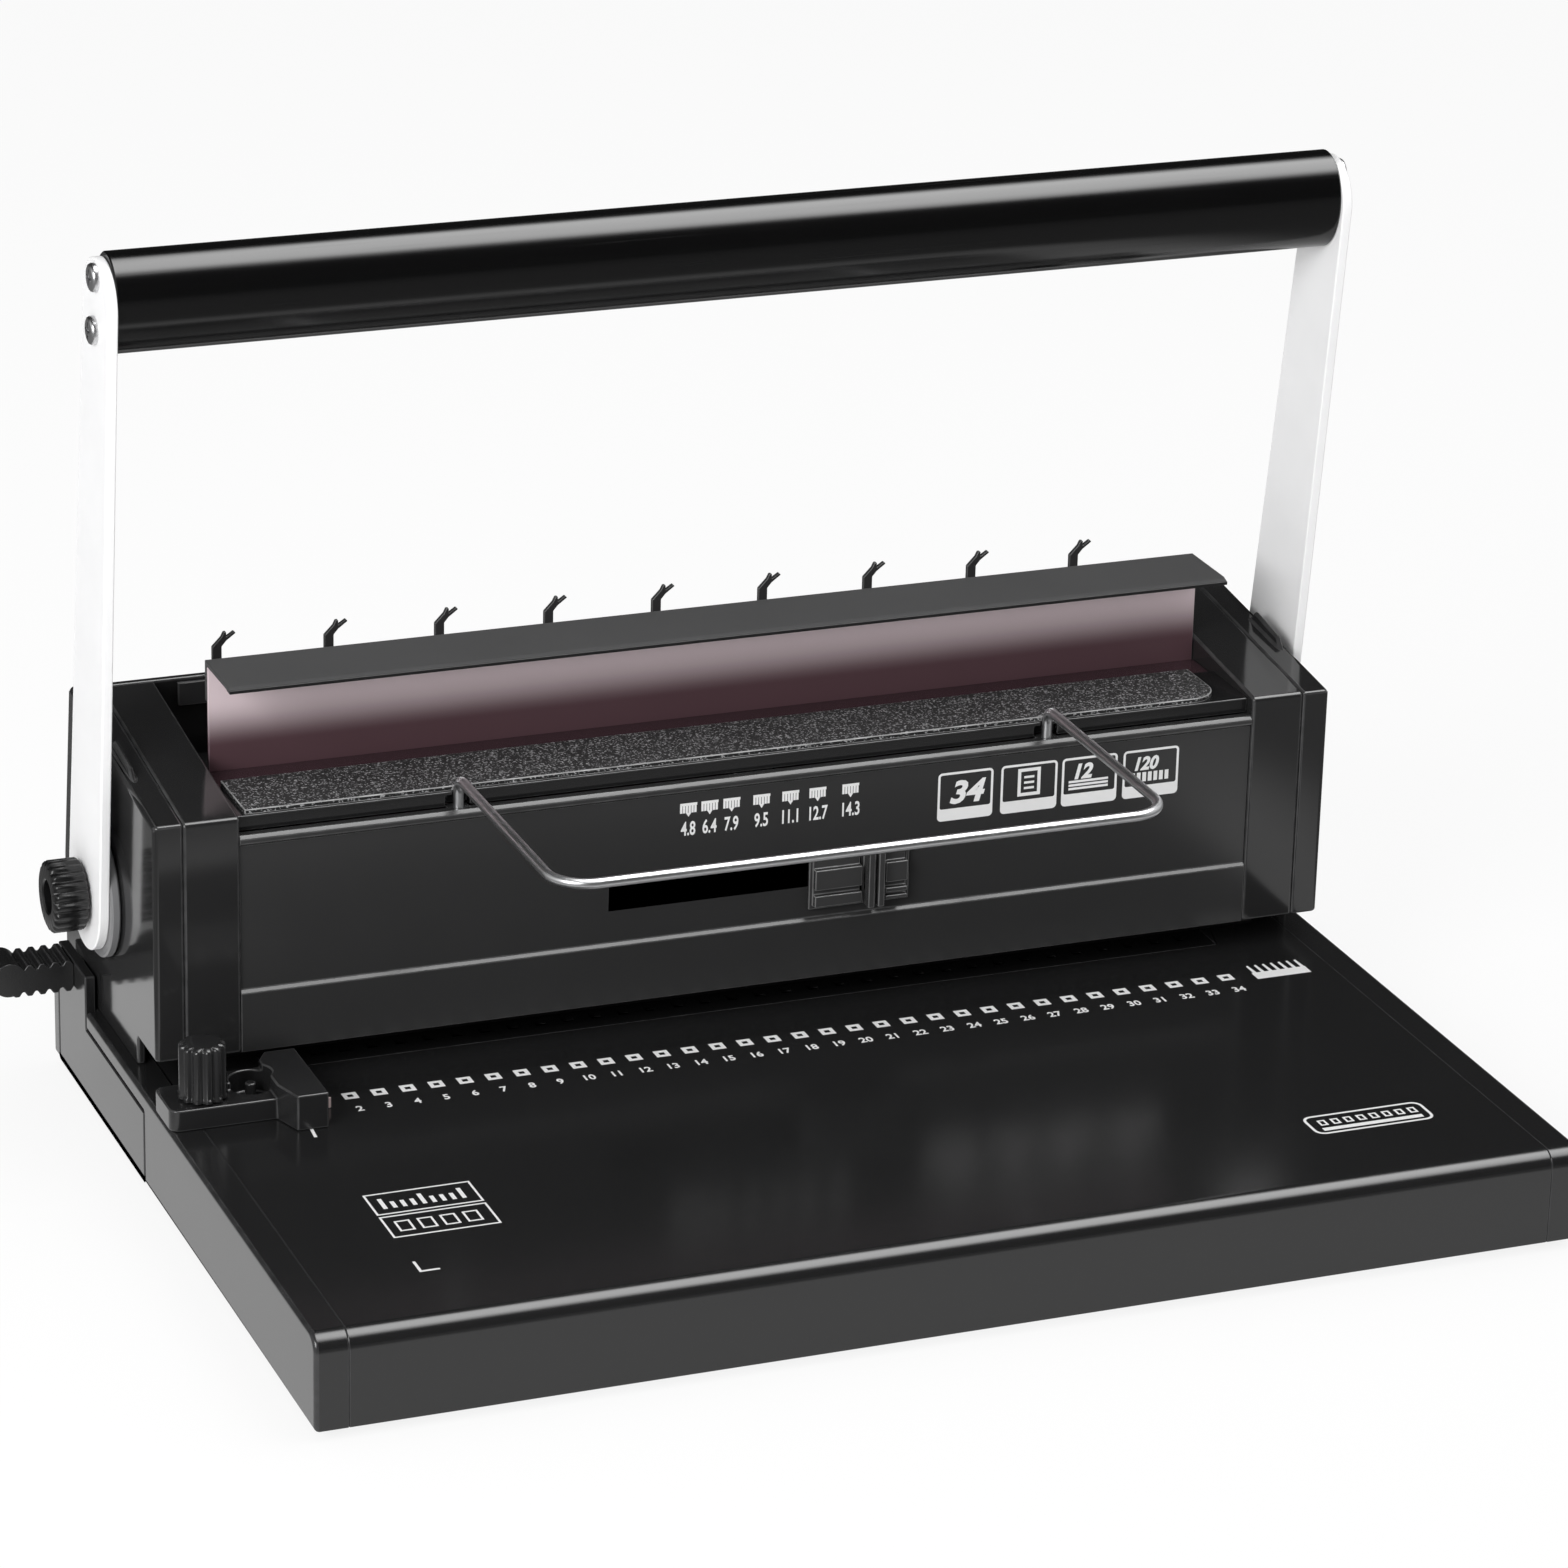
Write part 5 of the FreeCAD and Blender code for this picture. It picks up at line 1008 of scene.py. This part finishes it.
def thickened(net):
    made = bmesh.ops.extrude_face_region(net, geom=net.faces[:])
    raised = [item for item in made["geom"] if isinstance(item, bmesh.types.BMVert)]
    bmesh.ops.translate(net, vec=(0, 0, printThick * mm), verts=raised)
    bmesh.ops.recalc_face_normals(net, faces=net.faces)
    return net


def numberMesh(text, x, y, height, squeeze, bold, shear=0.0):
    curve = bpy.data.curves.new("number", "FONT")
    curve.body = text
    curve.size = height * mm / 0.7
    curve.align_x = "CENTER"
    curve.extrude = printThick * mm / 2
    curve.offset = bold * mm
    curve.shear = shear
    curve.resolution_u = 3
    mesh = bakedMesh(newObject("number", curve))
    mesh.transform(Matrix.Translation(Vector((x, y, printThick / 2)) * mm)
                   @ Matrix.Diagonal((squeeze, 1.0, 1.0, 1.0)))
    return mesh


def joined(meshes, name):
    net = bmesh.new()
    for mesh in meshes:
        net.from_mesh(mesh)
    return ownMesh(net, name)


# Draws a row of boxes, framed where a line width is given; at moves the whole row
def inkBoxes(net, count, step, box, line=0.0, at=(0.0, 0.0)):
    for index in range(count):
        x0, y0, x1, y1 = (edge + at[side % 2] + index * step[side % 2] for side, edge in enumerate(box))
        inside = block(x0 + line, y0 + line, x1 - line, y1 - line) if line else None
        inkNet(net, block(x0, y0, x1, y1), inside)


def placePrint(mesh, name, slot):
    placePiece(mesh, name, "frame", slot, "printWhite")


# a sign is its count, its step in x and y, the first box's left, lower, right and upper edge, and line width
deckPrintLook = dict(
    top=30.2, first=2, last=34, pitch=8.4667, zeroX=5.9 - 18 * 8.4667, markY=13.0, half=2.1, markLine=1.25,
    numberY=2.4, numberHeight=3.2, squeeze=0.9, bold=0.1,
    signs=(
        # the lid of the comb, two frames, a ruler's long and short bars, windows
        (1, (0, 0), (150.0, 9.0, 167.5, 13.6), 0), (1, (0, 0), (-146.4, -64.0, -116.0, -50.8), 0.6),
        (1, (0, 0), (-146.4, -78.6, -116.0, -65.2), 0.6), (3, (11.2, 0), (-143.4, -60.6, -142.2, -54.2), 0),
        (3, (2.8, 0), (-140.6, -60.6, -139.4, -56.6), 0), (3, (2.8, 0), (-129.4, -60.6, -128.2, -56.6), 0),
        (4, (6.4, 0), (-143.4, -75.2, -139.0, -68.8), 0.6),
        # a corner mark, the badge's line and its row of holes
        (1, (0, 0), (-146.3, -100.4, -145.5, -93.9), 0), (1, (0, 0), (-145.5, -100.4, -140.6, -99.6), 0),
        (1, (0, 0), (121.0, -95.0, 152.0, -93.2), 0), (8, (4.0, 0), (121.6, -91.6, 124.0, -88.2), 0.6)),
    teeth=7, toothStep=2.6, tooth=((150.6, 13.6), (151.7, 13.6), (151.3, 19.0), (150.6, 18.6)),
    guideTick=((-147.4, -10.4), (-146.5, -10.6), (-146.0, -4.8), (-146.9, -4.6)),
    badge=((118.0, -97.0, 155.0, -85.0, 3.0), (118.8, -96.2, 154.2, -85.8, 2.3)))


def onDeck(mesh):
    mesh.transform(Matrix.Translation((0, 0, (deckPrintLook["top"] + 0.01) * mm)))
    return mesh


def deckPrint():
    look = deckPrintLook
    pitch, half, y = look["pitch"], look["half"], look["markY"]
    firstX = look["zeroX"] + look["first"] * pitch
    net = bmesh.new()
    inkBoxes(net, 1, (0, 0), (firstX - half, y - half, firstX + half, y + half), look["markLine"])
    marks = inRow(onDeck(ownMesh(thickened(net), "mark")), look["last"] - look["first"] + 1,
                  (pitch * mm, 0.0, 0.0), "printWhite")
    placePrint(marks, "deck_hole_marks", "deck_black")
    numbers = [numberMesh(str(index), look["zeroX"] + index * pitch, look["numberY"], look["numberHeight"],
                          look["squeeze"], look["bold"]) for index in range(look["first"], look["last"] + 1)]
    placePrint(onDeck(joined(numbers, "numbers")), "deck_hole_numbers", "deck_black")
    net = bmesh.new()
    for sign in look["signs"]:
        inkBoxes(net, *sign)
    for index in range(look["teeth"]):
        inkNet(net, [(x + index * look["toothStep"], y) for x, y in look["tooth"]])
    inkNet(net, look["guideTick"])
    inkNet(net, *(roundBlock(*outline) for outline in look["badge"]))
    placePrint(onDeck(ownMesh(thickened(net), "signs")), "deck_signs", "deck_black")


# a size is its x and its number; a comb sign is a row of bars under a lid, with a pointer below
facePrintLook = dict(face=33.5, signSpan=(94.7, 97.7), signWidth=5.2, signBars=6, barShare=0.8, lid=0.8,
                     pointer=(0.8, 1.2), numberZ=87.9, numberHeight=4.1, squeeze=0.62, bold=0.12,
                     sizes=((-21.9, "4.8"), (-15.4, "6.4"), (-8.7, "7.9"), (0.5, "9.5"), (9.4, "11.1"),
                            (17.8, "12.7"), (28.0, "14.3")))
# a badge number is its text, badge, shift in x, rise, height, squeeze, boldness and slant
badgeLook = dict(spans=((55.4, 72.8), (75.3, 93.2), (94.7, 112.4), (114.3, 132.2)), low=82.4, high=97.4,
                 corner=1.3, line=0.7, band=3.0, signRise=1.2,
                 numbers=(("34", 0, 0.0, 5.4, 6.6, 1.1, 0.32, 0.25),
                          ("12", 2, -2.6, 8.4, 4.4, 1.0, 0.26, 0.25),
                          ("120", 3, -2.0, 8.7, 3.9, 0.95, 0.22, 0.25)),
                 # the badge's index, then as on the deck: a sheet's frame and lines, a stack and wire loops
                 signs=((1, 1, (0, 0), (-3.6, 0.0, 3.6, 8.6), 1.0),
                        (1, 3, (0, 1.7), (-1.6, 2.1, 1.6, 2.8), 0),
                        (2, 3, (0, 1.1), (-6.6, 0.0, 6.0, 0.7), 0),
                        (3, 7, (1.8, 0), (-6.2, 0.0, -5.0, 2.9), 0)))


# Print drawn in X and Z, standing on the cover's recessed face
def onFace(mesh):
    mesh.transform(Matrix.Translation((0, (facePrintLook["face"] - 0.01) * mm, 0))
                   @ Matrix.Rotation(math.pi / 2, 4, "X"))
    return mesh


# A comb of close bars over each size number
def sizeScale():
    look = facePrintLook
    low, high = look["signSpan"]
    lid, width, bars = look["lid"], look["signWidth"], look["signBars"]
    numbers = [numberMesh(text, x, look["numberZ"], look["numberHeight"], look["squeeze"], look["bold"])
               for x, text in look["sizes"]]
    placePrint(onFace(joined(numbers, "sizes")), "size_scale_numbers", "cover_black")
    net = bmesh.new()
    pitch = width / bars
    reach, drop = look["pointer"]
    for x, text in look["sizes"]:
        left, right = x - width / 2, x + width / 2
        inkBoxes(net, bars, (pitch, 0), (left, low, left + pitch * look["barShare"], high - lid))
        inkNet(net, block(left, high - lid, right, high))
        inkNet(net, [(x - reach, low), (x, low - drop), (x + reach, low)])
    placePrint(onFace(ownMesh(thickened(net), "sizeSigns")), "size_scale_signs", "cover_black")


# Four framed badges with a filled lower band: holes, sheet, thickness and sheet count
def facePrint():
    bottom, top, line, band, corner = (badgeLook[key] for key in ("low", "high", "line", "band", "corner"))
    middles = [(left + right) / 2 for left, right in badgeLook["spans"]]
    net = bmesh.new()
    for left, right in badgeLook["spans"]:
        inkNet(net, roundBlock(left, bottom, right, top, corner),
               roundBlock(left + line, bottom + line + band, right - line, top - line, corner - line))
    for badge, *sign in badgeLook["signs"]:
        inkBoxes(net, *sign, at=(middles[badge], bottom + line + band + badgeLook["signRise"]))
    placePrint(onFace(ownMesh(thickened(net), "badges")), "face_signs", "cover_black")
    numbers = [numberMesh(text, middles[badge] + shift, bottom + rise, *form)
               for text, badge, shift, rise, *form in badgeLook["numbers"]]
    placePrint(onFace(joined(numbers, "badgeNumbers")), "face_numbers", "cover_black")


deckPrint()
sizeScale()
facePrint()
print("marks printed")
